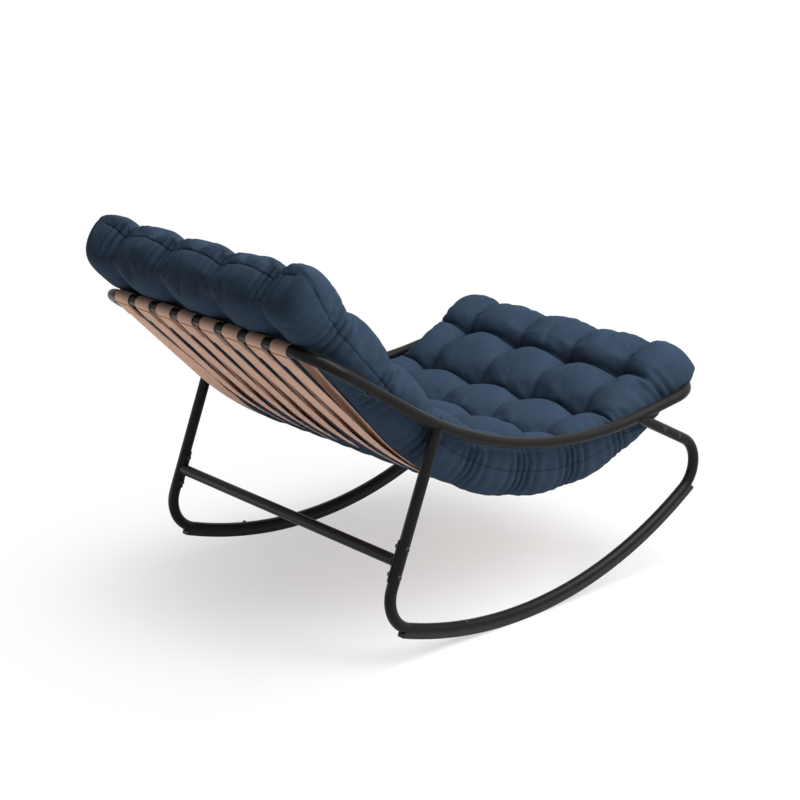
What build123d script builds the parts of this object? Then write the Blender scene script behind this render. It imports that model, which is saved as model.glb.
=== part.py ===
"""Rocking lounge chair: bolted tube frame, webbing sling and loose tufted pad.

Sizes are in millimetres. +Z is up, +Y points to the back of the chair and +X to
the sitter's left. The origin lies on the floor, midway between the two points
where the rockers touch it.
"""
import math
import os

from build123d import *

# Tube stock and its slip joints
TUBE_D = 25.0
TUBE_WALL = 1.5
SLIP_FIT = 0.15            # radial play of a swaged end inside the next tube
SWAGE_L = 3.0              # length of the shoulder where a tube is swaged down
RAIL_SPIGOT = 48.0         # swaged length at the joints of the seat rail
SEAM_GAP = 0.6             # joint line between a tube's end and the next tube's shoulder
WELD_GAP = 0.05            # play between a coped end and the tube it is welded to

# Side frames
FRAME_W = 780.0            # between the centre planes of the side frames
ROCKER_R = 995.0           # rocker, at the tube's centre
REAR_BEND_R = 79.0
FRONT_BEND_R = 71.0
CROSSBAR_Y = 347.0         # the upright runs through the crossbar's centre
CROSSBAR_Z = 227.0
UPRIGHT_LEAN = 21.0        # degrees forward of vertical
LEG_TOP_Y = -367.0         # where the front leg meets the side rail
LEG_SLOPE = 27.6           # degrees above horizontal

# Seat rail: a shallow arc with a straight run and a corner at each end
SEAT_R = 1005.0
SEAT_LOW_Y = -230.0
SEAT_LOW_Z = 380.5
BACK_SLOPE = 32.9          # degrees
BACK_RUN = 186.0
BACK_CORNER_R = 88.0
BACK_SEAM_GAP = 45.0       # from the joint to the corner
FRONT_SLOPE = 8.4
FRONT_RUN = 126.0
FRONT_CORNER_R = 88.0
FRONT_SEAM_GAP = 58.0

# Wear strip under each rocker
STRIP_HUG = 52.5           # degrees, half of the groove that hugs the tube
STRIP_T = 7.5              # below the tube
STRIP_EDGE_R = 2.5
STRIP_FIT = 0.1
STRIP_OVER = 20.0          # past the end of the rocker's arc
STRIP_SCREW_INSET = 45.0   # end screws, from the end of the arc
SCREW_D = 4.0
SCREW_HEAD_D = 7.5
SCREW_HEAD_H = 2.2
SCREW_RECESS = 1.0
SCREW_L = 16.0
SCREW_PLAY = 0.1
SCREW_HOLE_SIDES = 24      # moulded holes of the strip, many-sided

# Bolts, nuts and threaded inserts
BOLT_D = 6.0
BOLT_PLAY = 0.2            # radial, in plain holes
THREAD_PLAY = 0.05         # radial, in nuts and inserts
HEAD_D = 12.0
HEAD_H = 4.0
NUT_FLATS = 10.0
NUT_H = 5.0
NUT_DOME_H = 3.5
NUT_ROOF = 1.5             # of the dome, above the bolt's end
INSERT_D = 9.0
INSERT_L = 12.0
INSERT_FLANGE_D = 12.0
INSERT_FLANGE_T = 1.0
JOINT_BOLT_PITCH = 60.0
JOINT_BOLT_EDGE = 11.0     # last bolt of a leg joint, from the seam
RAIL_BOLT_EDGE = 12.0      # rail bolt, from the seam
JOINT_BOLT_TOP = 13.0      # first bolt of a leg joint, from the swaged end
LEG_BOLT_TOP = 93.0        # first bolt of the front leg, from the side rail

# Saddle plates that bolt the crossbar to the uprights
SADDLE_T = 2.5
SADDLE_EDGE = 14.0         # past the bolts
SADDLE_ARC = 150.0         # degrees round the upright
SADDLE_FIT = 0.05

# Dome rivet on the outer side of each rocker
RIVET_Y = 166.0
RIVET_TILT = 30.0          # degrees outward from the top of the tube
RIVET_D = 5.0
RIVET_L = 6.0
RIVET_HEAD_D = 9.0
RIVET_HEAD_H = 4.0

# Webbing straps: closed loops round the back rail and the front rail
STRAP_COUNT = 8
STRAP_INSET = 0.5          # outer straps, from the start of the corners
STRAP_W = 50.0
STRAP_T = 2.0
STRAP_PLAY = 0.25          # between a strap and the rail that it wraps
SLING_LOW_Y = -171.0       # lowest point of the sling
FRONT_STRAIGHT = 147.0     # straight run of the upper webbing at the front rail
UPPER_REAR_R = 680.0
UPPER_FRONT_R = 500.0
REAR_SLACK = 55.0          # the arcs of the lower run are wider than those of the upper run
FRONT_SLACK = 35.0
LOOP_GAP = 1.5             # between the two runs at the lowest point
LAP_L = 44.0               # sewn lap under the back rail
LAP_T = 1.6

# Pad: tufted in a grid, closed by one seam round its edge
PAD_T = 125.0
PAD_EDGE_DROP = 8.0        # the outer puffs are lower than the others
PAD_SIDE_GAP = 3.0         # between the pad's widest line and the side rails
PAD_BED_GAP = 0.3          # between the pad and the straps
PAD_BACK_OVER = 126.0      # past the back rail, along the slope
PAD_FRONT_OVER = 44.0      # past the front rail, along the slope
PAD_SEAM_V = 56.0          # height of the edge seam above the straps
PAD_BACK_SEAM_V = 80.0     # the same at the back end
PAD_FRONT_SEAM_V = 36.0    # the same at the front end
PAD_DRAW = 8.0             # how far the edge is drawn in between two rows
PAD_CORNER = 12.0          # how far the corners are drawn in at the ends
PAD_BACK_ROUND = 55.0      # length of the rounding at the ends
PAD_FRONT_ROUND = 130.0
PAD_TIP_T = 25.0           # thickness at the end seams
PAD_ROWS = 9
PAD_END_ROW = 143.0        # length of the first and last row of puffs
PUFF_W = 174.0             # between columns of tufts
COLUMN_DIP = 22.0          # depth of the channel between two columns
ROW_DIP = 24.0             # depth of the channel between two rows
UNDER_DIP = 13.0           # the same two, on the underside
UNDER_ROW_DIP = 9.0

TUBE_R = TUBE_D / 2
BORE_D = TUBE_D - 2 * TUBE_WALL
SPIGOT_D = BORE_D - 2 * SLIP_FIT
SPIGOT_BORE = SPIGOT_D - 2 * TUBE_WALL
HALF_W = FRAME_W / 2
BOLT_HOLE_D = BOLT_D + 2 * BOLT_PLAY
THREAD_D = BOLT_D + 2 * THREAD_PLAY
NUT_CORNER_R = NUT_FLATS / math.sqrt(3)
STRIP_BASE = TUBE_R + STRIP_T
STRIP_BED_R = TUBE_R + STRIP_FIT
STRIP_W = 2 * STRIP_BED_R * math.sin(math.radians(STRIP_HUG))
LEG_SPIGOT = JOINT_BOLT_EDGE + JOINT_BOLT_PITCH + JOINT_BOLT_TOP
SADDLE_L = JOINT_BOLT_PITCH + 2 * SADDLE_EDGE
BACK_SEAM = BACK_RUN - BACK_SEAM_GAP
FRONT_SEAM = FRONT_RUN - FRONT_SEAM_GAP
LOWER_REAR_R = UPPER_REAR_R + REAR_SLACK
LOWER_FRONT_R = UPPER_FRONT_R + FRONT_SLACK
STRAP_SPAN = FRAME_W - 2 * (max(BACK_CORNER_R, FRONT_CORNER_R) + STRAP_INSET)
STRAP_PITCH = (STRAP_SPAN - STRAP_W) / (STRAP_COUNT - 1)
SIDES = (1, -1)


def polar(centre, radius, degrees):
    """Point of a circle in a plane, with the angle from the first axis."""
    angle = math.radians(degrees)
    return (centre[0] + radius * math.cos(angle), centre[1] + radius * math.sin(angle))


def along(point, degrees, distance):
    """Point at a distance from another one, in a direction."""
    return polar(point, distance, degrees)


def arc(centre, radius, start, end):
    """Start, middle and end of an arc."""
    return [polar(centre, radius, a) for a in (start, (start + end) / 2, end)]


def angle_of(point, centre):
    """Direction from a centre to a point, in degrees."""
    return math.degrees(math.atan2(point[1] - centre[1], point[0] - centre[0]))


def route(runs, place):
    """Wire through straight runs (two points) and arcs (three points)."""
    edges = []
    for run in runs:
        points = [place(*p) for p in run]
        if len(points) == 2:
            edges.append(Edge.make_line(*points))
        else:
            edges.append(Edge.make_three_point_arc(*points))
    return Wire(edges)


def in_side_plane(x):
    """Placing function for points (y, z) in the plane at x."""
    return lambda y, z: Vector(x, y, z)


def tube(runs, place, outer_d, inner_d):
    """Hollow tube along a route."""
    path = route(runs, place)
    start = Plane(path @ 0, z_dir=path % 0)
    ring = start * (Circle(outer_d / 2) - Circle(inner_d / 2))
    return sweep(ring, path=path)


def upright_rod(diameter, length):
    """Solid cylinder that stands on the XY plane."""
    return Cylinder(diameter / 2, length, align=(Align.CENTER, Align.CENTER, Align.MIN))


def rod(base, direction, diameter, length):
    """Solid cylinder from a base point along a direction."""
    return Plane(base, z_dir=direction) * upright_rod(diameter, length)


def spigot(base, direction, length):
    """Swaged tube end: a thinner tube on a shoulder, from the seam outward."""
    plane = Plane(base, z_dir=direction)
    thin = extrude(plane * (Circle(SPIGOT_D / 2) - Circle(SPIGOT_BORE / 2)), length)
    shoulder = extrude(plane * (Circle(TUBE_R) - Circle(SPIGOT_BORE / 2)), -SWAGE_L)
    return thin + shoulder


def dome(radius, height):
    """Low dome on the XY plane."""
    ball = (radius**2 + height**2) / (2 * height)
    half = math.degrees(math.asin(radius / ball)) / 2
    mid = (ball * math.sin(math.radians(half)), height - ball + ball * math.cos(math.radians(half)))
    outline = Wire(
        [
            Edge.make_line((0, 0, 0), (radius, 0, 0)),
            Edge.make_three_point_arc((radius, 0, 0), (mid[0], 0, mid[1]), (0, 0, height)),
            Edge.make_line((0, 0, height), (0, 0, 0)),
        ]
    )
    return revolve(Face(outline), axis=Axis.Z)


def dome_bolt(seat, outward, shank_d, length, head_d, head_h):
    """Dome-headed bolt: the head stands on its seat and the shank goes inward."""
    plane = Plane(seat, z_dir=outward)
    shank = Cylinder(shank_d / 2, length, align=(Align.CENTER, Align.CENTER, Align.MAX))
    return plane * (dome(head_d / 2, head_h) + shank)


def cap_nut(seat, outward, bolt_depth):
    """Hexagon nut with a dome, bored for a bolt that ends inside it."""
    body = extrude(RegularPolygon(NUT_CORNER_R, 6), NUT_H)
    body += Pos(0, 0, NUT_H) * dome(NUT_FLATS / 2, NUT_DOME_H)
    body -= Cylinder(THREAD_D / 2, bolt_depth, align=(Align.CENTER, Align.CENTER, Align.MIN))
    return Plane(seat, z_dir=outward) * body


def plain_nut(seat, outward):
    """Hexagon nut on a seat."""
    body = extrude(RegularPolygon(NUT_CORNER_R, 6) - Circle(THREAD_D / 2), NUT_H)
    return Plane(seat, z_dir=outward) * body


def insert(seat, outward):
    """Threaded insert: a flange on its seat and a sleeve that goes inward."""
    sleeve = Cylinder(INSERT_D / 2, INSERT_L, align=(Align.CENTER, Align.CENTER, Align.MAX))
    flange = Cylinder(INSERT_FLANGE_D / 2, INSERT_FLANGE_T, align=(Align.CENTER, Align.CENTER, Align.MIN))
    body = sleeve + flange - Cylinder(THREAD_D / 2, 3 * INSERT_L)
    return Plane(seat, z_dir=outward) * body


# Side frame, as points (y, z)
ROCKER_C = (0.0, ROCKER_R + STRIP_BASE)
SEAT_C = (SEAT_LOW_Y, SEAT_LOW_Z + SEAT_R)
CROSSBAR = (CROSSBAR_Y, CROSSBAR_Z)
UP = 90 + UPRIGHT_LEAN
LEG_TOP = polar(SEAT_C, SEAT_R, -90 + math.degrees(math.asin((LEG_TOP_Y - SEAT_LOW_Y) / SEAT_R)))
BACK_END = polar(SEAT_C, SEAT_R, -90 + BACK_SLOPE)
FRONT_END = polar(SEAT_C, SEAT_R, -90 - FRONT_SLOPE)


def bend_centre(point, heading, inward, radius):
    """Centre of the bend between a straight run and the rocker's arc.

    The run passes through a point with a heading, the centre lies on its inward
    side, and the end that counts is the one against the heading.
    """
    start = along(point, inward, radius)
    dy = start[0] - ROCKER_C[0]
    dz = start[1] - ROCKER_C[1]
    a = math.radians(heading)
    half_b = dy * math.cos(a) + dz * math.sin(a)
    c = dy**2 + dz**2 - (ROCKER_R - radius) ** 2
    return along(start, heading, -half_b - math.sqrt(half_b**2 - c))


REAR_BEND_C = bend_centre(CROSSBAR, UP, UP + 90, REAR_BEND_R)
FRONT_BEND_C = bend_centre(LEG_TOP, LEG_SLOPE, LEG_SLOPE - 90, FRONT_BEND_R)
REAR_ARC_END = angle_of(REAR_BEND_C, ROCKER_C)
FRONT_ARC_END = angle_of(FRONT_BEND_C, ROCKER_C)
REAR_SEAM = along(CROSSBAR, UP, -JOINT_BOLT_PITCH / 2 - JOINT_BOLT_EDGE)
LEG_BOLTS = [along(LEG_TOP, LEG_SLOPE, -LEG_BOLT_TOP - k * JOINT_BOLT_PITCH) for k in (0, 1)]
LEG_SEAM = along(LEG_BOLTS[1], LEG_SLOPE, -JOINT_BOLT_EDGE)
UPRIGHT_BOLTS = [along(CROSSBAR, UP, k * JOINT_BOLT_PITCH / 2) for k in (1, -1)]
BACK_RAIL = along(BACK_END, BACK_SLOPE, BACK_RUN + BACK_CORNER_R)
FRONT_RAIL = along(FRONT_END, 180 - FRONT_SLOPE, FRONT_RUN + FRONT_CORNER_R)
RAIL_BOLTS = {
    "back": (along(BACK_END, BACK_SLOPE, BACK_SEAM - RAIL_BOLT_EDGE), BACK_SLOPE - 90),
    "front": (along(FRONT_END, 180 - FRONT_SLOPE, FRONT_SEAM - RAIL_BOLT_EDGE), -90 - FRONT_SLOPE),
}
UP_DIR = Vector(0, math.cos(math.radians(UP)), math.sin(math.radians(UP)))
LEG_DIR = Vector(0, math.cos(math.radians(LEG_SLOPE)), math.sin(math.radians(LEG_SLOPE)))


def direction(degrees):
    """Unit vector in the side plane."""
    return Vector(0, math.cos(math.radians(degrees)), math.sin(math.radians(degrees)))


def side_runs():
    """Runs of the left side rail, from the front joint to the back joint."""
    return [
        [along(FRONT_END, 180 - FRONT_SLOPE, FRONT_SEAM - SEAM_GAP), FRONT_END],
        arc(SEAT_C, SEAT_R, -90 - FRONT_SLOPE, -90 + BACK_SLOPE),
        [BACK_END, along(BACK_END, BACK_SLOPE, BACK_SEAM - SEAM_GAP)],
    ]


def side_rail():
    """Curved rail beside the seat, with a bolt hole near each end."""
    body = tube(side_runs(), in_side_plane(HALF_W), TUBE_D, BORE_D)
    for point, outward in RAIL_BOLTS.values():
        body -= rod(Vector(HALF_W, *point), direction(outward), BOLT_HOLE_D, TUBE_D)
    return body


def end_rail(end, slope, run, corner_r, seam):
    """Cross rail with two corners, and a swaged end in each side rail."""
    heading = direction(slope)

    def place(u, w):
        return Vector(u, *end) + heading * w

    inner = HALF_W - corner_r
    runs = [
        [(-HALF_W, seam), (-HALF_W, run)],
        arc((-inner, run), corner_r, 180, 90),
        [(-inner, run + corner_r), (inner, run + corner_r)],
        arc((inner, run), corner_r, 90, 0),
        [(HALF_W, run), (HALF_W, seam)],
    ]
    body = tube(runs, place, TUBE_D, BORE_D)
    for side in SIDES:
        body += spigot(place(side * HALF_W, seam), -heading, RAIL_SPIGOT)
    return body


def rail_bolt_holes(which):
    """Cutters for the bolt holes of one cross rail's swaged ends."""
    point, outward = RAIL_BOLTS[which]
    return [rod(Vector(s * HALF_W, *point), direction(outward), BOLT_HOLE_D, TUBE_D) for s in SIDES]


def cope():
    """Cutter for the tube ends that are welded to a side rail."""
    path = route(side_runs(), in_side_plane(HALF_W))
    disc = Plane(path @ 0, z_dir=path % 0) * Circle(TUBE_R + WELD_GAP)
    return sweep(disc, path=path)


def upright_top():
    """Point where the upright's centre line meets the side rail's."""
    a = math.radians(UP)
    dy = CROSSBAR[0] - SEAT_C[0]
    dz = CROSSBAR[1] - SEAT_C[1]
    half_b = dy * math.cos(a) + dz * math.sin(a)
    c = dy**2 + dz**2 - SEAT_R**2
    return along(CROSSBAR, UP, -half_b - math.sqrt(half_b**2 - c))


def rear_upright():
    """Upright that is welded under the side rail and bolted to the rocker."""
    foot = along(REAR_SEAM, UP, SEAM_GAP)
    body = tube([[foot, upright_top()]], in_side_plane(HALF_W), TUBE_D, BORE_D)
    body -= cope()
    for point in UPRIGHT_BOLTS:
        body -= rod(Vector(HALF_W - TUBE_D, *point), (1, 0, 0), BOLT_HOLE_D, 2 * TUBE_D)
    return body


def front_stub():
    """Upper part of the front leg, welded under the side rail."""
    foot = along(LEG_SEAM, LEG_SLOPE, SEAM_GAP)
    body = tube([[foot, LEG_TOP]], in_side_plane(HALF_W), TUBE_D, BORE_D)
    body -= cope()
    for point in LEG_BOLTS:
        body -= rod(Vector(HALF_W, *point), (1, 0, 0), BOLT_HOLE_D, TUBE_D)
        body -= rod(Vector(HALF_W, *point), (-1, 0, 0), INSERT_D + 2 * BOLT_PLAY, TUBE_D)
    return body


def strip_screw_angles():
    """Angles on the rocker's arc of the screws that hold the wear strip."""
    inset = math.degrees(STRIP_SCREW_INSET / ROCKER_R)
    first = FRONT_ARC_END + inset
    last = REAR_ARC_END - inset
    return [first, (first + last) / 2, last]


def rivet_axis(side):
    """Seat and direction of the dome rivet on a rocker."""
    angle = -90 + math.degrees(math.asin(RIVET_Y / ROCKER_R))
    centre = Vector(side * HALF_W, *polar(ROCKER_C, ROCKER_R, angle))
    tilt = math.radians(RIVET_TILT)
    outward = direction(angle + 180) * math.cos(tilt) + Vector(side, 0, 0) * math.sin(tilt)
    return centre + outward * TUBE_R, outward


def rocker():
    """Bent rocker tube, swaged at both ends."""
    leg_tangent = along(FRONT_BEND_C, LEG_SLOPE + 90, FRONT_BEND_R)
    up_tangent = along(REAR_BEND_C, UP - 90, REAR_BEND_R)
    runs = [
        [REAR_SEAM, up_tangent],
        arc(REAR_BEND_C, REAR_BEND_R, UP - 90, REAR_ARC_END),
        arc(ROCKER_C, ROCKER_R, REAR_ARC_END, FRONT_ARC_END),
        arc(FRONT_BEND_C, FRONT_BEND_R, FRONT_ARC_END, LEG_SLOPE + 90 - 360),
        [leg_tangent, LEG_SEAM],
    ]
    body = tube(runs, in_side_plane(HALF_W), TUBE_D, BORE_D)
    body += spigot(Vector(HALF_W, *REAR_SEAM), UP_DIR, LEG_SPIGOT)
    body += spigot(Vector(HALF_W, *LEG_SEAM), LEG_DIR, LEG_SPIGOT)
    for point in UPRIGHT_BOLTS:
        body -= rod(Vector(HALF_W - TUBE_D, *point), (1, 0, 0), BOLT_HOLE_D, 2 * TUBE_D)
    for point in LEG_BOLTS:
        body -= rod(Vector(HALF_W, *point), (1, 0, 0), BOLT_HOLE_D, TUBE_D)
        body -= rod(Vector(HALF_W, *point), (-1, 0, 0), INSERT_D + 2 * BOLT_PLAY, TUBE_D)
    for angle in strip_screw_angles():
        centre = Vector(HALF_W, *polar(ROCKER_C, ROCKER_R, angle))
        body -= rod(centre, direction(angle), SCREW_D + 2 * SCREW_PLAY, TUBE_D)
    seat, outward = rivet_axis(1)
    body -= rod(seat, -outward, RIVET_D + 2 * SCREW_PLAY, TUBE_WALL + TUBE_R / 2)
    return body


def moulded_hole(screw_d, length):
    """Cutter for a hole of a wear strip, upright on the XY plane."""
    outline = RegularPolygon(screw_d / 2 + SCREW_PLAY, SCREW_HOLE_SIDES, major_radius=False)
    return extrude(outline, length)


def rocker_strip():
    """Wear strip that hugs the underside of a rocker."""
    half = STRIP_W / 2
    lip = STRIP_BASE - STRIP_BED_R * math.cos(math.radians(STRIP_HUG))
    outline = Wire(
        [
            Edge.make_line((-half, 0, lip), (-half, 0, 0)),
            Edge.make_line((-half, 0, 0), (half, 0, 0)),
            Edge.make_line((half, 0, 0), (half, 0, lip)),
            Edge.make_three_point_arc((half, 0, lip), (0, 0, STRIP_BASE - STRIP_BED_R), (-half, 0, lip)),
        ]
    )
    section = Face(outline)
    corners = section.vertices().sort_by(Axis.Z)[:2]
    section = section.fillet_2d(STRIP_EDGE_R, corners)
    spin = Axis((0, 0, ROCKER_C[1]), (1, 0, 0))
    over = math.degrees(STRIP_OVER / ROCKER_R)
    first = FRONT_ARC_END + 90 - over
    last = REAR_ARC_END + 90 + over
    body = revolve(section.rotate(spin, first), axis=spin, revolution_arc=last - first)
    body = Pos(HALF_W, 0, 0) * body
    for angle in strip_screw_angles():
        outside = Vector(HALF_W, *polar(ROCKER_C, ROCKER_R + STRIP_BASE + STRIP_T, angle))
        inward = direction(angle + 180)
        place = Plane(outside, x_dir=(1, 0, 0), z_dir=inward)
        body -= place * moulded_hole(SCREW_HEAD_D, STRIP_T + SCREW_RECESS + SCREW_HEAD_H)
        body -= place * moulded_hole(SCREW_D, TUBE_D)
    return body


def strip_screws():
    """Cheese-head screws, sunk into the wear strips from below."""
    made = []
    for side in SIDES:
        for angle in strip_screw_angles():
            inward = direction(angle + 180)
            tip = Vector(side * HALF_W, *polar(ROCKER_C, ROCKER_R + STRIP_BASE, angle)) + inward * SCREW_RECESS
            head = rod(tip, inward, SCREW_HEAD_D, SCREW_HEAD_H)
            made.append(head + rod(tip, inward, SCREW_D, SCREW_L))
    return made


def saddle():
    """Curved plate on the inner side of an upright."""
    inner = TUBE_R + SADDLE_FIT
    outer = TUBE_R + SADDLE_T
    plane = Plane(Vector(HALF_W, *CROSSBAR), x_dir=(-1, 0, 0), z_dir=UP_DIR)
    half = SADDLE_ARC / 2
    out_arc = arc((0, 0), outer, -half, half)
    in_arc = arc((0, 0), inner, half, -half)
    outline = Wire(
        [
            Edge.make_three_point_arc(*[(u, v, 0) for u, v in out_arc]),
            Edge.make_line((*out_arc[2], 0), (*in_arc[0], 0)),
            Edge.make_three_point_arc(*[(u, v, 0) for u, v in in_arc]),
            Edge.make_line((*in_arc[2], 0), (*out_arc[0], 0)),
        ]
    )
    body = plane * extrude(Face(outline), SADDLE_L / 2, both=True)
    for point in UPRIGHT_BOLTS:
        body -= rod(Vector(HALF_W, *point), (-1, 0, 0), BOLT_HOLE_D, 2 * TUBE_D)
    return body


def crossbar():
    """Tube between the two saddle plates, coped to them."""
    start = Vector(-HALF_W, *CROSSBAR)
    plane = Plane(start, z_dir=(1, 0, 0))
    body = extrude(plane * (Circle(TUBE_R) - Circle(BORE_D / 2)), FRAME_W)
    for side in SIDES:
        centre = Vector(side * HALF_W, *CROSSBAR) - UP_DIR * SADDLE_L / 2
        body -= rod(centre, UP_DIR, 2 * (TUBE_R + SADDLE_T + WELD_GAP), SADDLE_L)
    return body


def crossbar_bolts():
    """Bolts through uprights, rockers and saddle plates, heads outward."""
    length = TUBE_D + SADDLE_T + NUT_H + NUT_DOME_H - NUT_ROOF
    made = []
    for side in SIDES:
        for point in UPRIGHT_BOLTS:
            seat = Vector(side * (HALF_W + TUBE_R), *point)
            made.append(dome_bolt(seat, (side, 0, 0), BOLT_D, length, HEAD_D, HEAD_H))
    return made


def crossbar_nuts():
    """Cap nuts on the inner side of the saddle plates."""
    depth = NUT_H + NUT_DOME_H - NUT_ROOF
    made = []
    for side in SIDES:
        for point in UPRIGHT_BOLTS:
            seat = Vector(side * (HALF_W - TUBE_R - SADDLE_T), *point)
            made.append(cap_nut(seat, (-side, 0, 0), depth))
    return made


def leg_bolts():
    """Bolts of the front leg joints, heads outward."""
    made = []
    for side in SIDES:
        for point in LEG_BOLTS:
            seat = Vector(side * (HALF_W + TUBE_R), *point)
            made.append(dome_bolt(seat, (side, 0, 0), BOLT_D, TUBE_D, HEAD_D, HEAD_H / 2))
    return made


def leg_inserts():
    """Threaded inserts in the inner walls of the front leg joints."""
    made = []
    for side in SIDES:
        for point in LEG_BOLTS:
            seat = Vector(side * (HALF_W - TUBE_R), *point)
            made.append(insert(seat, (-side, 0, 0)))
    return made


RAIL_NUT_SEAT = math.sqrt((SPIGOT_BORE / 2) ** 2 - NUT_CORNER_R**2) - THREAD_PLAY


def rail_bolts():
    """Bolts under the joints of the seat rail."""
    length = TUBE_R - RAIL_NUT_SEAT + NUT_H
    made = []
    for side in SIDES:
        for point, outward in RAIL_BOLTS.values():
            down = direction(outward)
            seat = Vector(side * HALF_W, *point) + down * TUBE_R
            made.append(dome_bolt(seat, down, BOLT_D, length, HEAD_D, HEAD_H))
    return made


def rail_nuts():
    """Nuts inside the swaged ends of the cross rails."""
    made = []
    for side in SIDES:
        for point, outward in RAIL_BOLTS.values():
            down = direction(outward)
            made.append(plain_nut(Vector(side * HALF_W, *point) + down * RAIL_NUT_SEAT, -down))
    return made


def rivets():
    """Dome rivets on the rockers."""
    made = []
    for side in SIDES:
        seat, outward = rivet_axis(side)
        made.append(dome_bolt(seat, outward, RIVET_D, RIVET_L, RIVET_HEAD_D, RIVET_HEAD_H))
    return made


# Sling, in half planes (distance from the lowest point, height)
WRAP_R = TUBE_R + STRAP_PLAY + STRAP_T / 2
FRONT_REACH = SLING_LOW_Y - FRONT_RAIL[0]
FRONT_RISE = math.sqrt((UPPER_FRONT_R + WRAP_R) ** 2 + FRONT_STRAIGHT**2 - FRONT_REACH**2)
SLING_LOW_Z = FRONT_RAIL[1] - UPPER_FRONT_R + FRONT_RISE
RAILS = {
    1: (BACK_RAIL[0] - SLING_LOW_Y, BACK_RAIL[1]),
    -1: (SLING_LOW_Y - FRONT_RAIL[0], FRONT_RAIL[1]),
}
UPPER_R = {1: UPPER_REAR_R, -1: UPPER_FRONT_R}
LOWER_R = {1: LOWER_REAR_R, -1: LOWER_FRONT_R}
LOWER_LOW_Z = SLING_LOW_Z - STRAP_T - LOOP_GAP


def tangent(centre, radius, rail, wrap):
    """Heading and ends of the line from a sagging arc to a rail's wrap.

    A positive wrap passes under the rail and a negative one over it.
    """
    dy = rail[0] - centre[0]
    dz = rail[1] - centre[1]
    lean = math.degrees(math.asin((wrap - radius) / math.hypot(dy, dz)))
    heading = math.degrees(math.atan2(dz, dy)) - lean
    return heading, along(centre, heading - 90, radius), along(rail, heading - 90, wrap)


def half_loop(end, grow):
    """Runs of one end of a strap's loop, from its upper to its lower low point.

    The loop is grown outward by a distance, which gives both faces of the strap.
    """
    rail = RAILS[end]
    up_c = (0.0, SLING_LOW_Z + UPPER_R[end])
    low_c = (0.0, LOWER_LOW_Z + LOWER_R[end])
    up_r = UPPER_R[end] - grow
    low_r = LOWER_R[end] + grow
    wrap = WRAP_R + grow
    up_heading, up_a, up_b = tangent(up_c, up_r, rail, -wrap)
    low_heading, low_a, low_b = tangent(low_c, low_r, rail, wrap)
    return [
        arc(up_c, up_r, -90, up_heading - 90),
        [up_a, up_b],
        arc(rail, wrap, up_heading + 90, low_heading - 90),
        [low_b, low_a],
        arc(low_c, low_r, low_heading - 90, -90),
    ]


def loop_wire(x, grow):
    """Closed outline of one face of a strap."""
    back = [[(SLING_LOW_Y + y, z) for y, z in run] for run in half_loop(1, grow)]
    front = [[(SLING_LOW_Y - y, z) for y, z in run] for run in half_loop(-1, grow)]
    runs = back + [run[::-1] for run in front[::-1]]
    return route(runs, in_side_plane(x))


def strap(index):
    """One webbing loop, with its sewn lap under the back rail."""
    x = (index - (STRAP_COUNT - 1) / 2) * STRAP_PITCH - STRAP_W / 2
    band = Face(loop_wire(x, STRAP_T / 2), [loop_wire(x, -STRAP_T / 2)])
    low_c = (0.0, LOWER_LOW_Z + LOWER_REAR_R)
    heading, _, end = tangent(low_c, LOWER_REAR_R, RAILS[1], WRAP_R)
    top = (SLING_LOW_Y + end[0], end[1])
    foot = along(top, heading, -LAP_L)
    outer = STRAP_T / 2 + LAP_T
    corners = [top, foot, along(foot, heading - 90, outer), along(top, heading - 90, outer)]
    lap = Face(Wire.make_polygon([(x, *p) for p in corners]))
    return extrude(band, STRAP_W, dir=(1, 0, 0)) + extrude(lap, STRAP_W, dir=(1, 0, 0))


def bed_runs():
    """Lengths and headings of the line that the pad lies on, from back to front."""
    lift = STRAP_T / 2 + PAD_BED_GAP
    found = {}
    for end in (1, -1):
        centre = (0.0, SLING_LOW_Z + UPPER_R[end])
        heading, start, stop = tangent(centre, UPPER_R[end] - lift, RAILS[end], -WRAP_R - lift)
        found[end] = (centre, UPPER_R[end] - lift, heading, start, math.dist(start, stop))
    return found


BED = bed_runs()
REAR_ARC_L = BED[1][1] * math.radians(BED[1][2])
FRONT_ARC_L = BED[-1][1] * math.radians(BED[-1][2])
PAD_BACK_L = REAR_ARC_L + BED[1][4] + PAD_BACK_OVER
PAD_FRONT_L = FRONT_ARC_L + BED[-1][4] + PAD_FRONT_OVER
PAD_L = PAD_BACK_L + PAD_FRONT_L


def bed_plane(s):
    """Cross-section plane at a length from the pad's front end.

    Its x axis runs to the sitter's left and its y axis away from the straps.
    """
    reach = s - PAD_FRONT_L
    end = 1 if reach > 0 else -1
    centre, radius, heading, start, _ = BED[end]
    travel = abs(reach)
    turned = math.degrees(travel / radius)
    if turned < heading:
        point = polar(centre, radius, turned - 90)
        slope = turned
    else:
        point = along(start, heading, travel - radius * math.radians(heading))
        slope = heading
    origin = (0, SLING_LOW_Y + end * point[0], point[1])
    normal = direction(end * slope)
    return Plane(origin, x_dir=(1, 0, 0), z_dir=-normal)


def crest(p, q, height):
    """Point where the circle through two points touches a level line."""
    a = p[1] - height
    b = q[1] - height
    square = b - a
    linear = p[0] * b - q[0] * a
    rest = (p[0] ** 2 + a**2) * b - (q[0] ** 2 + b**2) * a
    if abs(square) < 1e-9:
        return (rest / linear / 2, height)
    root = math.sqrt(linear**2 - square * rest)
    found = [(linear - root) / square, (linear + root) / square]
    middle = (p[0] + q[0]) / 2
    return (min(found, key=lambda u: abs(u - middle)), height)


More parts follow.
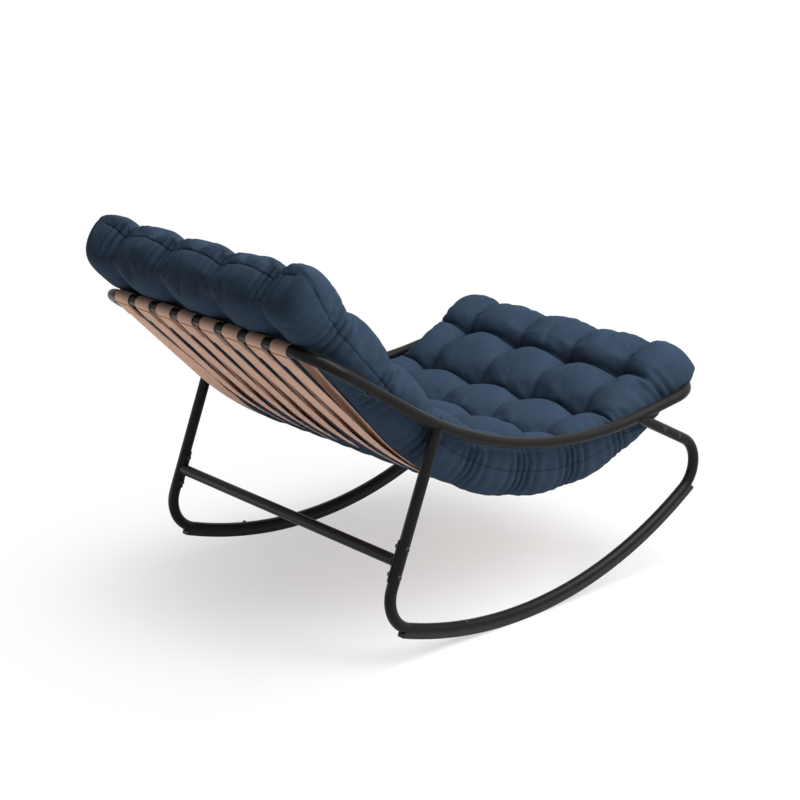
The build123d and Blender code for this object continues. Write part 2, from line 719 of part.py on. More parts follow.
def pad_section(s, in_row):
    """Outline of the pad at a length from its front end.

    Args:
        s: length along the straps.
        in_row: 1 on a channel between two rows, 0 on the crowns.
    """
    at_back = s > PAD_L / 2
    rest = PAD_L - s if at_back else s
    rounding = PAD_BACK_ROUND if at_back else PAD_FRONT_ROUND
    end_seam = PAD_BACK_SEAM_V if at_back else PAD_FRONT_SEAM_V
    swell = math.sqrt(1 - max(0.0, 1 - rest / rounding) ** 2)
    full = (PAD_TIP_T + (PAD_T - PAD_TIP_T) * swell) / PAD_T
    seam = PAD_SEAM_V + (end_seam - PAD_SEAM_V) * max(0.0, 1 - rest / PAD_END_ROW)
    edge = HALF_W - TUBE_R - PAD_SIDE_GAP - PAD_DRAW * in_row - PAD_CORNER * (1 - swell)
    inner = PUFF_W / 2
    outer = inner + PUFF_W

    def level(v):
        return seam + (v - seam) * full

    def half(crown, side_crown, dip):
        ends = [(edge, seam), (outer, level(dip)), (inner, level(dip))]
        return [
            [ends[0], crest(ends[0], ends[1], level(side_crown)), ends[1]],
            [ends[1], (PUFF_W, level(crown)), ends[2]],
            [ends[2], (0, level(crown)), (-inner, level(dip))],
        ]

    def across(runs):
        return runs + [[(-u, v) for u, v in run[::-1]] for run in runs[1::-1]]

    crown = PAD_T - ROW_DIP * in_row
    under = UNDER_ROW_DIP * in_row
    top = across(half(crown, crown - PAD_EDGE_DROP, crown - COLUMN_DIP))
    low = across(half(under, under, under + UNDER_DIP))
    plane = bed_plane(s)
    return route(top + [run[::-1] for run in low[::-1]], lambda u, v: plane.from_local_coords((u, v)))


def pad_stations():
    """Lengths of the pad's cross-sections, with 1 on the row channels."""
    step = (PAD_L - 2 * PAD_END_ROW) / (PAD_ROWS - 2)
    channels = [PAD_END_ROW + k * step for k in range(PAD_ROWS - 1)]
    shares = (0.0, 0.05, 0.2, 0.5, 1.0)
    stations = [(PAD_FRONT_ROUND * share, 0.0) for share in shares]
    for k, s in enumerate(channels):
        stations.append((s, 1.0))
        if k < len(channels) - 1:
            stations.append((s + step / 4, 0.0))
            stations.append((s + 3 * step / 4, 0.0))
    stations.append((channels[-1] + step / 4, 0.0))
    stations += [(PAD_L - PAD_BACK_ROUND * share, 0.0) for share in shares[::-1]]
    return stations


def cushion():
    """Tufted pad, lofted through its cross-sections."""
    return Solid.make_loft([pad_section(s, row) for s, row in pad_stations()], ruled=True)


def parts():
    """Every piece by the name of its file."""
    back = end_rail(BACK_END, BACK_SLOPE, BACK_RUN, BACK_CORNER_R, BACK_SEAM)
    front = end_rail(FRONT_END, 180 - FRONT_SLOPE, FRONT_RUN, FRONT_CORNER_R, FRONT_SEAM)
    for cutter in rail_bolt_holes("back"):
        back -= cutter
    for cutter in rail_bolt_holes("front"):
        front -= cutter
    made = {"back_rail": back, "front_rail": front, "crossbar": crossbar()}
    for maker in (side_rail, rear_upright, front_stub, rocker, rocker_strip, saddle):
        left = maker()
        made[f"{maker.__name__}_left"] = left
        made[f"{maker.__name__}_right"] = mirror(left, about=Plane.YZ)
    made["crossbar_bolts"] = crossbar_bolts()
    made["crossbar_nuts"] = crossbar_nuts()
    made["leg_bolts"] = leg_bolts()
    made["leg_inserts"] = leg_inserts()
    made["rail_bolts"] = rail_bolts()
    made["rail_nuts"] = rail_nuts()
    made["strip_screws"] = strip_screws()
    made["rocker_rivets"] = rivets()
    for index in range(STRAP_COUNT):
        made[f"strap_{index + 1}"] = strap(index)
    made["cushion"] = cushion()
    return made


def solids_of(piece):
    """Solids of a piece, or of a group of pieces."""
    if isinstance(piece, list):
        return [solid for member in piece for solid in member.solids()]
    return piece.solids()


os.makedirs("parts", exist_ok=True)
for part_name, piece in parts().items():
    found = solids_of(piece)
    shape = found[0] if len(found) == 1 else Compound(children=found)
    export_step(shape, f"parts/{part_name}.step")
    print(part_name, len(found), "solid(s)", round(sum(solid.volume for solid in found)), "mm3")
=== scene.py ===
"""Rocking lounge chair: coated tube frame, webbing sling and one long tufted pad."""
import logging
import math
from collections.abc import Callable
from dataclasses import dataclass, field
from enum import Enum

import bmesh
import bpy
import numpy as np
from mathutils import Matrix, Vector


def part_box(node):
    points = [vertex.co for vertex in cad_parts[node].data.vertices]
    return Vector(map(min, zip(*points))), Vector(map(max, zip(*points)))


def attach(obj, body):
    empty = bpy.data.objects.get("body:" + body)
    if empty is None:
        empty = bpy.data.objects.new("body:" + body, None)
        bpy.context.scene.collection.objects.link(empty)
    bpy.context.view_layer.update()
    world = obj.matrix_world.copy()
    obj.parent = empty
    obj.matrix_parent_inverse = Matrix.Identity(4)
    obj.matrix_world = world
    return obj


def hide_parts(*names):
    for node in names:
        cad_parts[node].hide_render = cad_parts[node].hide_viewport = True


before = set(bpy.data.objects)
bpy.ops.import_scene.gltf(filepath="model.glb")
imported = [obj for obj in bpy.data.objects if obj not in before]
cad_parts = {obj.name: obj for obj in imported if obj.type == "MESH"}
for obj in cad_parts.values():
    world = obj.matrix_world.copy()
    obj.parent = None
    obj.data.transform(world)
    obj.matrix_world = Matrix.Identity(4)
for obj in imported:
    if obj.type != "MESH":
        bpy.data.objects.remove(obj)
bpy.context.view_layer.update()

LOG = logging.getLogger("rocking_chair")
TAU = 2.0 * math.pi


class Slot(Enum):
    """Material slots of the record."""

    COATING = "frame_coating"
    STRIP = "strip_plastic"
    HARDWARE = "hardware"
    WEBBING = "webbing"
    CLOTH = "cushion_cloth"


class End(Enum):
    """The two ends of the sling, with the sign of their direction along Y."""

    BACK = 1
    FRONT = -1


class Tree:
    """Short way to add nodes to a node tree."""

    def __init__(self, tree: bpy.types.NodeTree) -> None:
        """Keeps the tree that nodes are added to."""
        self.tree = tree

    def add(self, kind: str, inputs: dict | None = None, **settings: object) -> bpy.types.Node:
        """Adds one node.

        Args:
            kind: type name of the node.
            inputs: values or sockets for its inputs, by name or index.
            settings: properties of the node.

        Returns:
            The new node.
        """
        node = self.tree.nodes.new(kind)
        for key, value in settings.items():
            setattr(node, key, value)
        for key, value in (inputs or {}).items():
            if isinstance(value, bpy.types.NodeSocket):
                self.tree.links.new(value, node.inputs[key])
            else:
                node.inputs[key].default_value = value
        return node

    def calc(self, operation: str, a: object, b: object = 0.5) -> bpy.types.NodeSocket:
        """Adds a Math node and returns its output."""
        return self.add("ShaderNodeMath", {0: a, 1: b}, operation=operation).outputs[0]

    def blend(self, share: object, a: object, b: object) -> bpy.types.NodeSocket:
        """Adds a colour mix and returns its output."""
        return self.add("ShaderNodeMix", {0: share, 6: a, 7: b}, data_type="RGBA").outputs[2]

    def spread(self, value: object, low: float, high: float) -> bpy.types.NodeSocket:
        """Maps a value from 0..1 to a range and returns the output."""
        return self.add("ShaderNodeMapRange", {0: value, 3: low, 4: high}).outputs[0]


def new_group(name: str, inputs: dict[str, str], outputs: dict[str, str]) -> tuple[Tree, dict, dict]:
    """Starts a shader node group.

    Args:
        name: name of the group.
        inputs: socket types of its inputs by name.
        outputs: socket types of its outputs by name.

    Returns:
        The group's tree, its input sockets and the sockets that take its results.
    """
    group = bpy.data.node_groups.new(name, "ShaderNodeTree")
    for label, kind in inputs.items():
        group.interface.new_socket(label, in_out="INPUT", socket_type=kind)
    for label, kind in outputs.items():
        group.interface.new_socket(label, in_out="OUTPUT", socket_type=kind)
    tree = Tree(group)
    given = tree.add("NodeGroupInput")
    taken = tree.add("NodeGroupOutput")
    return tree, given.outputs, taken.inputs


def grain_group() -> bpy.types.NodeTree:
    """Makes the fine grain of a sprayed or moulded skin: a broad cloud and a small ripple.

    Returns:
        The node group.
    """
    tree, given, taken = new_group(
        "skin_grain",
        {"Place": "NodeSocketVector", "Fine": "NodeSocketFloat", "Broad": "NodeSocketFloat"},
        {"Cloud": "NodeSocketFloat", "Ripple": "NodeSocketFloat"},
    )
    broad = tree.add("ShaderNodeTexNoise", {"Vector": given["Place"], "Scale": given["Broad"], "Detail": 4.0})
    fine = tree.add("ShaderNodeTexNoise", {"Vector": given["Place"], "Scale": given["Fine"], "Detail": 2.0})
    tree.tree.links.new(broad.outputs["Fac"], taken["Cloud"])
    tree.tree.links.new(fine.outputs["Fac"], taken["Ripple"])
    return tree.tree


CROSSING_FULLNESS = 0.6
YARNS_PER_METRE = 420.0
SLUBS_PER_METRE = 32.0
CLOUDS_PER_METRE = 9.0
WRINKLES_PER_METRE = 24.0


def weave_group() -> bpy.types.NodeTree:
    """Makes a plain weave on a map in metres: raised crossings, uneven yarns and slubs.

    Returns:
        The node group.
    """
    tree, given, taken = new_group(
        "plain_weave",
        {"Place": "NodeSocketVector", "Across": "NodeSocketFloat", "Along": "NodeSocketFloat"},
        {name: "NodeSocketFloat" for name in ("Height", "Yarn", "Cloud", "Wrinkle")},
    )
    axes = tree.add("ShaderNodeSeparateXYZ", {"Vector": given["Place"]})
    waves = []
    for axis, pitch in ((0, "Across"), (1, "Along")):
        turns = tree.calc("DIVIDE", axes.outputs[axis], given[pitch])
        waves.append(tree.calc("SINE", tree.calc("MULTIPLY", turns, math.pi)))
    crossing = tree.calc("ABSOLUTE", tree.calc("MULTIPLY", waves[0], waves[1]))
    tree.tree.links.new(tree.calc("POWER", crossing, CROSSING_FULLNESS), taken["Height"])
    slubs = []
    for scale in ((YARNS_PER_METRE, SLUBS_PER_METRE, 1.0), (SLUBS_PER_METRE, YARNS_PER_METRE, 1.0)):
        place = tree.add("ShaderNodeMapping", {"Vector": given["Place"], "Scale": scale})
        noise = {"Vector": place.outputs[0], "Scale": 1.0, "Detail": 2.0}
        slubs.append(tree.add("ShaderNodeTexNoise", noise))
    yarn = tree.calc("MULTIPLY", tree.calc("ADD", slubs[0].outputs["Fac"], slubs[1].outputs["Fac"]), 0.5)
    tree.tree.links.new(yarn, taken["Yarn"])
    noise = {"Vector": given["Place"], "Scale": CLOUDS_PER_METRE, "Detail": 4.0}
    cloud = tree.add("ShaderNodeTexNoise", noise)
    tree.tree.links.new(cloud.outputs["Fac"], taken["Cloud"])
    noise = {"Vector": given["Place"], "Scale": WRINKLES_PER_METRE, "Detail": 2.5, "Distortion": 1.2}
    wrinkle = tree.add("ShaderNodeTexNoise", noise)
    tree.tree.links.new(wrinkle.outputs["Fac"], taken["Wrinkle"])
    return tree.tree


@dataclass(frozen=True)
class SkinFinish:
    """Sprayed coating or moulded plastic with a fine grain."""

    name: str
    dark: tuple[float, float, float, float]
    light: tuple[float, float, float, float]
    rough: tuple[float, float]
    fine: float = 1400.0
    broad: float = 22.0
    depth: float = 0.00004
    strength: float = 0.35
    shine: float = 0.5

    def make(self, grain: bpy.types.NodeTree) -> bpy.types.Material:
        """Builds the material.

        Args:
            grain: the shared grain group.

        Returns:
            The material.
        """
        material, tree = start_material(self.name)
        place = tree.add("ShaderNodeTexCoord").outputs["Object"]
        skin = tree.add("ShaderNodeGroup", node_tree=grain)
        tree.tree.links.new(place, skin.inputs["Place"])
        skin.inputs["Fine"].default_value = self.fine
        skin.inputs["Broad"].default_value = self.broad
        colour = tree.blend(skin.outputs["Cloud"], self.dark, self.light)
        rough = tree.spread(skin.outputs["Cloud"], *self.rough)
        bump = tree.add(
            "ShaderNodeBump",
            {"Height": skin.outputs["Ripple"], "Distance": self.depth, "Strength": self.strength},
        )
        shader = tree.add(
            "ShaderNodeBsdfPrincipled",
            {
                "Base Color": colour,
                "Roughness": rough,
                "Specular IOR Level": self.shine,
                "Normal": bump.outputs[0],
            },
        )
        finish_material(tree, shader)
        return material


@dataclass(frozen=True)
class ClothFinish:
    """Woven cloth on a map in metres, with painted shade in the weave's hollows and, where the mesh marks
    them, along creases.
    """

    name: str
    dark: tuple[float, float, float, float]
    light: tuple[float, float, float, float]
    across: float
    along: float
    depth: float
    rough: tuple[float, float] = (0.78, 0.92)
    cloud_share: float = 0.35
    wrinkle: float = 0.0
    relief: float = 0.6
    shine: float = 0.06
    # Share of the colour left at the bottom of the weave's hollows, as painted shade.
    painted_hollow_shade: float = 0.72
    # Painted shade in the creases: how narrow its dark line is, how much of the colour it takes and how dim
    # it is.
    painted_shade_narrow: float = 1.5
    painted_shade_cover: float = 0.88
    painted_shade_tone: float = 0.35

    def make(self, weave: bpy.types.NodeTree) -> bpy.types.Material:
        """Builds the material.

        Args:
            weave: the shared weave group.

        Returns:
            The material.
        """
        material, tree = start_material(self.name)
        place = tree.add("ShaderNodeUVMap", uv_map="Cloth").outputs[0]
        cloth = tree.add("ShaderNodeGroup", node_tree=weave)
        tree.tree.links.new(place, cloth.inputs["Place"])
        cloth.inputs["Across"].default_value = self.across
        cloth.inputs["Along"].default_value = self.along
        cloud = tree.calc("MULTIPLY", cloth.outputs["Cloud"], self.cloud_share)
        yarn = tree.calc("MULTIPLY", cloth.outputs["Yarn"], 1.0 - self.cloud_share)
        tone = tree.calc("ADD", cloud, yarn)
        # Painted shade: the colour is darker where the weave's height is low, in the hollows between
        # crossings.
        painted_hollow_shade = tree.spread(cloth.outputs["Height"], self.painted_hollow_shade, 1.0)
        colour = tree.blend(tree.calc("MULTIPLY", tone, painted_hollow_shade), self.dark, self.light)
        # Painted shade: the colour is blended towards a dim copy of the dark tone wherever the mesh marks a
        # channel, pleat or seam groove.
        painted_crease_shade = tree.add("ShaderNodeAttribute", attribute_name="painted_crease_shade").outputs["Fac"]
        shade = tuple(self.painted_shade_tone * value for value in self.dark[:3]) + (1.0,)
        crease = tree.calc("MULTIPLY", tree.calc("POWER", painted_crease_shade, self.painted_shade_narrow), self.painted_shade_cover)
        colour = tree.blend(crease, colour, shade)
        rough = tree.spread(cloth.outputs["Yarn"], *self.rough)
        soft = tree.add(
            "ShaderNodeBump", {"Height": cloth.outputs["Wrinkle"], "Distance": self.wrinkle, "Strength": 1.0}
        )
        bump = tree.add(
            "ShaderNodeBump",
            {
                "Height": cloth.outputs["Height"],
                "Distance": self.depth,
                "Strength": self.relief,
                "Normal": soft.outputs[0],
            },
        )
        shader = tree.add(
            "ShaderNodeBsdfPrincipled",
            {
                "Base Color": colour,
                "Roughness": rough,
                "Specular IOR Level": self.shine,
                "Normal": bump.outputs[0],
            },
        )
        finish_material(tree, shader)
        return material


def start_material(name: str) -> tuple[bpy.types.Material, Tree]:
    """Makes a material with an empty node tree.

    Args:
        name: name of the material.

    Returns:
        The material and its tree.
    """
    material = bpy.data.materials.new(name)
    material.use_nodes = True
    material.node_tree.nodes.clear()
    return material, Tree(material.node_tree)


def finish_material(tree: Tree, shader: bpy.types.Node) -> None:
    """Joins a shader to the material's output."""
    tree.add("ShaderNodeOutputMaterial", {"Surface": shader.outputs[0]})


COATING = SkinFinish(
    "charcoal_coating",
    dark=(0.006, 0.006, 0.0065, 1),
    light=(0.011, 0.011, 0.012, 1),
    rough=(0.30, 0.42),
    shine=0.10,
)
STRIP = SkinFinish(
    "strip_moulding",
    dark=(0.014, 0.014, 0.015, 1),
    light=(0.026, 0.026, 0.028, 1),
    rough=(0.5, 0.68),
    fine=900.0,
    strength=0.6,
    shine=0.2,
)
HARDWARE = SkinFinish(
    "black_hardware",
    dark=(0.006, 0.006, 0.007, 1),
    light=(0.014, 0.014, 0.016, 1),
    rough=(0.26, 0.40),
    broad=120.0,
    shine=0.3,
)
WEBBING = ClothFinish(
    "tan_webbing",
    dark=(0.50, 0.310, 0.230, 1),
    light=(0.76, 0.500, 0.385, 1),
    across=0.0016,
    along=0.0026,
    depth=0.00030,
    wrinkle=0.0015,
)
STITCH = ClothFinish(
    "tan_thread",
    dark=(0.48, 0.310, 0.230, 1),
    light=(0.70, 0.470, 0.365, 1),
    across=0.0006,
    along=0.0006,
    depth=0.00010,
)
CLOTH = ClothFinish(
    "blue_grey_cloth",
    dark=(0.012, 0.021, 0.037, 1),
    light=(0.046, 0.074, 0.118, 1),
    across=0.0014,
    along=0.0014,
    depth=0.00025,
    wrinkle=0.0018,
)


@dataclass
class Finishes:
    """Every material of the chair, made once."""

    coating: bpy.types.Material = field(init=False)
    strip: bpy.types.Material = field(init=False)
    hardware: bpy.types.Material = field(init=False)
    webbing: bpy.types.Material = field(init=False)
    thread: bpy.types.Material = field(init=False)
    cloth: bpy.types.Material = field(init=False)

    def __post_init__(self) -> None:
        """Makes the shared groups and the materials."""
        grain = grain_group()
        weave = weave_group()
        self.coating = COATING.make(grain)
        self.strip = STRIP.make(grain)
        self.hardware = HARDWARE.make(grain)
        self.webbing = WEBBING.make(weave)
        self.thread = STITCH.make(weave)
        self.cloth = CLOTH.make(weave)


def add_piece(
    name: str, mesh: bmesh.types.BMesh, material: bpy.types.Material, body: str
) -> bpy.types.Object:
    """Turns a bmesh into a piece that rides on a body.

    Args:
        name: name of the piece.
        mesh: its shape, which is freed.
        material: its finish.
        body: the body that it moves with.

    Returns:
        The new object.
    """
    data = bpy.data.meshes.new(name)
    mesh.to_mesh(data)
    mesh.free()
    data.materials.append(material)
    data.polygons.foreach_set("use_smooth", [True] * len(data.polygons))
    piece = bpy.data.objects.new(name, data)
    bpy.context.scene.collection.objects.link(piece)
    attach(piece, body)
    return piece


def polar(centre: tuple[float, float], radius: float, angle: float) -> tuple[float, float]:
    """Point of a circle in the side plane, with the angle from +Y."""
    return centre[0] + radius * math.cos(angle), centre[1] + radius * math.sin(angle)


Run = tuple[tuple[float, float], float, float, tuple[float, float], tuple[float, float]]


@dataclass
class Sling:
    """Eight webbing loops between the back rail and the front rail."""

    low_y: float = -0.171
    tube_r: float = 0.0125
    play: float = 0.00025
    strap_t: float = 0.002
    loop_gap: float = 0.0015
    upper_r: dict[End, float] = field(default_factory=lambda: {End.BACK: 0.680, End.FRONT: 0.500})
    slack: dict[End, float] = field(default_factory=lambda: {End.BACK: 0.055, End.FRONT: 0.035})
    count: int = 8
    lap_l: float = 0.044
    lap_t: float = 0.0016
    cells_across: int = 6
    arc_steps: dict[End, int] = field(default_factory=lambda: {End.BACK: 22, End.FRONT: 16})
    run_steps: dict[End, int] = field(default_factory=lambda: {End.BACK: 8, End.FRONT: 6})
    wrap_steps: int = 14
    selvedge: float = 0.0006
    roll: float = -4.5
    last_roll: float = 15.0
    roll_play: float = 1.5
    raised: float = 0.009
    last_raised: float = 0.012
    sway: float = 0.004
    on_run: float = 0.0004
    stitch: tuple[float, float, float] = (0.0019, 0.00055, 0.00045)
    stitch_inset: tuple[float, float] = (0.005, 0.006)
    stitch_row: float = 0.007
    stitch_clear: float = 0.011
    stitches_across: int = 9
    stitches_along: int = 6

    def __post_init__(self) -> None:
        """Finds the rails and the lowest point of the straps."""
        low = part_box("strap_1")[0].z
        self.low_z = low + self.strap_t + self.loop_gap + self.strap_t / 2
        self.wrap_r = self.tube_r + self.play + self.strap_t / 2
        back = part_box("back_rail")[1]
        front_low, front_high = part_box("front_rail")
        self.rails = {
            End.BACK: (back.y - self.tube_r - self.low_y, back.z - self.tube_r),
            End.FRONT: (self.low_y - front_low.y - self.tube_r, front_high.z - self.tube_r),
        }

    def spans(self) -> tuple[list[float], list[float]]:
        """Right and left edges of the straps."""
        boxes = [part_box(f"strap_{index}") for index in range(1, self.count + 1)]
        return [low.x for low, _ in boxes], [high.x for _, high in boxes]

    def tangent(
        self, centre: tuple[float, float], radius: float, rail: tuple[float, float], wrap: float
    ) -> tuple[float, tuple[float, float], tuple[float, float]]:
        """Line from a sagging arc to a rail's wrap, in a half plane.

        Args:
            centre: centre of the arc.
            radius: radius of the arc.
            rail: centre of the rail.
            wrap: radius of the wrap, negative where the line passes over the rail.

        Returns:
            The line's heading, its start and its end.
        """
        dy = rail[0] - centre[0]
        dz = rail[1] - centre[1]
        heading = math.atan2(dz, dy) - math.asin((wrap - radius) / math.hypot(dy, dz))
        return heading, polar(centre, radius, heading - math.pi / 2), polar(rail, wrap, heading - math.pi / 2)

    def upper(self, end: End, lift: float = 0.0) -> Run:
        """Works out an upper run of the straps.

        Args:
            end: the half of the sling.
            lift: distance by which the run is raised.

        Returns:
            The centre and radius of its arc, and the heading, start and stop of its straight.
        """
        centre = (0.0, self.low_z + self.upper_r[end])
        radius = self.upper_r[end] - lift
        return (centre, radius, *self.tangent(centre, radius, self.rails[end], -self.wrap_r - lift))

    def lower(self, end: End, drop: float = 0.0) -> Run:
        """Works out a lower run of the straps.

        Args:
            end: the half of the sling.
            drop: distance by which the run is lowered.

        Returns:
            The centre and radius of its arc, and the heading, start and stop of its straight.
        """
        radius = self.upper_r[end] + self.slack[end]
        centre = (0.0, self.low_z - self.strap_t - self.loop_gap + radius)
        radius += drop
        return (centre, radius, *self.tangent(centre, radius, self.rails[end], self.wrap_r + drop))

    def _spin(
        self,
        mesh: bmesh.types.BMesh,
        vert: bmesh.types.BMVert,
        end: End,
        centre: tuple[float, float],
        turn: float,
        steps: int,
    ) -> bmesh.types.BMVert:
        """Spins a vertex about a point of a half plane.

        Args:
            mesh: takes the arc.
            vert: first vertex of the arc.
            end: the half of the sling.
            centre: centre of the arc in that half.
            turn: angle of the arc.
            steps: number of its divisions.

        Returns:
            The last vertex of the arc.
        """
        result = bmesh.ops.spin(
            mesh,
            geom=[vert],
            cent=Vector((vert.co.x, self.low_y + end.value * centre[0], centre[1])),
            axis=(1, 0, 0),
            angle=end.value * turn,
            steps=steps,
            use_duplicate=False,
        )
        return [item for item in result["geom_last"] if isinstance(item, bmesh.types.BMVert)][0]

    def _run(
        self,
        mesh: bmesh.types.BMesh,
        vert: bmesh.types.BMVert,
        end: End,
        stop: tuple[float, float],
        steps: int,
    ) -> bmesh.types.BMVert:
        """Extrudes a vertex in a straight line to a point of a half plane.

        Args:
            mesh: takes the line.
            vert: first vertex of the line.
            end: the half of the sling.
            stop: end of the line in that half.
            steps: number of its divisions.

        Returns:
            The last vertex of the line.
        """
        goal = Vector((vert.co.x, self.low_y + end.value * stop[0], stop[1]))
        step = (goal - vert.co) / steps
        for _ in range(steps):
            made = bmesh.ops.extrude_vert_indiv(mesh, verts=[vert])
            vert = made["verts"][0]
            bmesh.ops.translate(mesh, verts=[vert], vec=step)
        return vert

    def _loop(self, mesh: bmesh.types.BMesh, x: float) -> None:
        """Draws the centre line of one loop, from the upper low point round both rails.

        Args:
            mesh: takes the line.
            x: its place across the chair.
        """
        vert = mesh.verts.new((x, self.low_y, self.low_z))
        for end in (End.BACK, End.FRONT):
            up_c, _, up_heading, up_start, up_stop = self.upper(end)
            low_c, _, low_heading, low_start, low_stop = self.lower(end)
            wrap = math.pi + up_heading - low_heading
            arc, run = self.arc_steps[end], self.run_steps[end]
            if end is End.BACK:
                vert = self._spin(mesh, vert, end, up_c, up_heading, arc)
                vert = self._run(mesh, vert, end, up_stop, run)
                vert = self._spin(mesh, vert, end, self.rails[end], -wrap, self.wrap_steps)
                vert = self._run(mesh, vert, end, low_start, run)
                vert = self._spin(mesh, vert, end, low_c, -low_heading, arc)
            else:
                vert = self._spin(mesh, vert, end, low_c, low_heading, arc)
                vert = self._run(mesh, vert, end, low_stop, run)
                vert = self._spin(mesh, vert, end, self.rails[end], wrap, self.wrap_steps)
                vert = self._run(mesh, vert, end, up_start, run)
                self._spin(mesh, vert, end, up_c, -up_heading, arc)

    def _hang(self, mesh: bmesh.types.BMesh, index: int, middle: float) -> None:
        """Lets the lower run of a loop turn and sway a little behind the back.

        Args:
            mesh: the ribbon.
            index: number of its strap.
            middle: place of its middle across the chair.
        """
        last = index == self.count
        roll = (self.last_roll if last else self.roll) + self.roll_play * math.sin(2.3 * index)
        turn = math.tan(math.radians(roll))
        raised = self.last_raised if last else self.raised
        sway = self.sway * math.sin(1.9 * index + 0.7)
        centre, radius, heading, start, stop = self.lower(End.BACK)
        bottom = radius * heading
        length = math.dist(start, stop)
        for vert in mesh.verts:
            y, z = vert.co.y - self.low_y, vert.co.z
            arm = Vector((y - centre[0], z - centre[1]))
            swing = math.atan2(y, centre[1] - z)
            on_arc = abs(arm.length - radius) < self.on_run and 0 < y and swing < heading + 0.001
            past = (y - stop[0]) * math.cos(heading) + (z - stop[1]) * math.sin(heading)
            off = (y - stop[0]) * math.sin(heading) - (z - stop[1]) * math.cos(heading)
            on_line = abs(off) < self.on_run and -length <= past <= 0
            if not (on_arc or on_line):
                continue
            angle = swing if on_arc else heading
            run = radius * angle if on_arc else bottom + length + past
            share = math.sin(math.pi * run / (bottom + length)) ** 2
            lift = (-turn * (middle - vert.co.x) - raised) * share
            vert.co += Vector((sway * share, lift * math.sin(angle), -lift * math.cos(angle)))

    def _map(self, mesh: bmesh.types.BMesh, x: float, order: list[Vector]) -> None:
        """Gives a ribbon its map in metres, across from the edge and along the loop.

        Args:
            mesh: the ribbon.
            x: place of its right edge.
            order: points of its centre line, in order.
        """
        lengths = {}
        total = 0.0
        for index, point in enumerate(order):
            if index:
                total += (point - order[index - 1]).length
            lengths[(round(point.y, 6), round(point.z, 6))] = total
        total += (order[0] - order[-1]).length
        layer = mesh.loops.layers.uv.new("Cloth")
        for face in mesh.faces:
            along = [lengths[(round(c.vert.co.y, 6), round(c.vert.co.z, 6))] for c in face.loops]
            if max(along) - min(along) > total / 2:
                along = [a + total if a < total / 2 else a for a in along]
            for corner, a in zip(face.loops, along):
                corner[layer].uv = (corner.vert.co.x - x, a)

    def strap(self, index: int, finish: bpy.types.Material) -> bpy.types.Object:
        """One webbing loop.

        Args:
            index: number of the strap, from 1.
            finish: its material.

        Returns:
            The strap, which replaces its solid.
        """
        low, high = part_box(f"strap_{index}")
        mesh = bmesh.new()
        self._loop(mesh, low.x)
        bmesh.ops.remove_doubles(mesh, verts=mesh.verts[:], dist=1e-6)
        mesh.verts.ensure_lookup_table()
        order = self._walk(mesh)
        edges = mesh.edges[:]
        step = (high.x - low.x) / self.cells_across
        for _ in range(self.cells_across):
            made = bmesh.ops.extrude_edge_only(mesh, edges=edges)["geom"]
            edges = [item for item in made if isinstance(item, bmesh.types.BMEdge)]
            row = [item for item in made if isinstance(item, bmesh.types.BMVert)]
            bmesh.ops.translate(mesh, verts=row, vec=(step, 0, 0))
            edges = [edge for edge in edges if abs(edge.verts[0].co.x - edge.verts[1].co.x) < 1e-7]
        bmesh.ops.recalc_face_normals(mesh, faces=mesh.faces[:])
        self._map(mesh, low.x, order)
        self._hang(mesh, index, (low.x + high.x) / 2)
        piece = add_piece(f"webbing_{index}", mesh, finish, "frame")
        wall = piece.modifiers.new("thickness", "SOLIDIFY")
        wall.thickness = self.strap_t
        wall.offset = 0.0
        edge = piece.modifiers.new("selvedge", "BEVEL")
        edge.width = self.selvedge
        edge.segments = 2
        edge.limit_method = "ANGLE"
        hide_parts(f"strap_{index}")
        return piece

    def _walk(self, mesh: bmesh.types.BMesh) -> list[Vector]:
        """Walks once round a closed loop of edges.

        Args:
            mesh: the loop.

        Returns:
            Its points in order.
        """
        first = mesh.verts[0]
        order = [first.co.copy()]
        edge = first.link_edges[0]
        vert = edge.other_vert(first)
        while vert is not first:
            order.append(vert.co.copy())
            edge = [other for other in vert.link_edges if other is not edge][0]
            vert = edge.other_vert(vert)
        return order

    def laps(self, finish: bpy.types.Material, thread: bpy.types.Material) -> list[bpy.types.Object]:
        """Sewn laps under the back rail, with their stitches.

        Args:
            finish: material of the webbing.
            thread: material of the stitches.

        Returns:
            The laps and the stitches.
        """
        drop = self.strap_t / 2 + self.lap_t / 2
        _, _, heading, _, stop = self.lower(End.BACK, drop)
        top = Vector((0, self.low_y + stop[0], stop[1]))
        down = Vector((0, -math.cos(heading), -math.sin(heading)))
        out = Vector((0, math.sin(heading), -math.cos(heading)))
        webs = bmesh.new()
        sewn = bmesh.new()
        layer = webs.loops.layers.uv.new("Cloth")
        sewn.loops.layers.uv.new("Cloth")
        for index in range(1, self.count + 1):
            low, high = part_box(f"strap_{index}")
            middle = (low.x + high.x) / 2
            width = high.x - low.x - self.selvedge
            turn = Matrix((Vector((1, 0, 0)), down, out)).transposed().to_4x4()
            place = Matrix.Translation(top + Vector((middle, 0, 0)) + down * self.lap_l / 2) @ turn
            scale = Matrix.Diagonal((width, self.lap_l, 1.0, 1.0))
            cells = self.cells_across
            made = bmesh.ops.create_grid(
                webs, x_segments=cells, y_segments=cells, size=0.5, matrix=place @ scale
            )
            for vert in made["verts"]:
                for corner in vert.link_loops:
                    across = corner.vert.co.x - low.x
                    corner[layer].uv = (across, (corner.vert.co - top).dot(down))
            self._stitches(sewn, place, width)
        bmesh.ops.recalc_face_normals(webs, faces=webs.faces[:])
        lap = add_piece("webbing_laps", webs, finish, "frame")
        wall = lap.modifiers.new("thickness", "SOLIDIFY")
        wall.thickness = self.lap_t
        wall.offset = 0.0
        rows = add_piece("lap_stitches", sewn, thread, "frame")
        return [lap, rows]

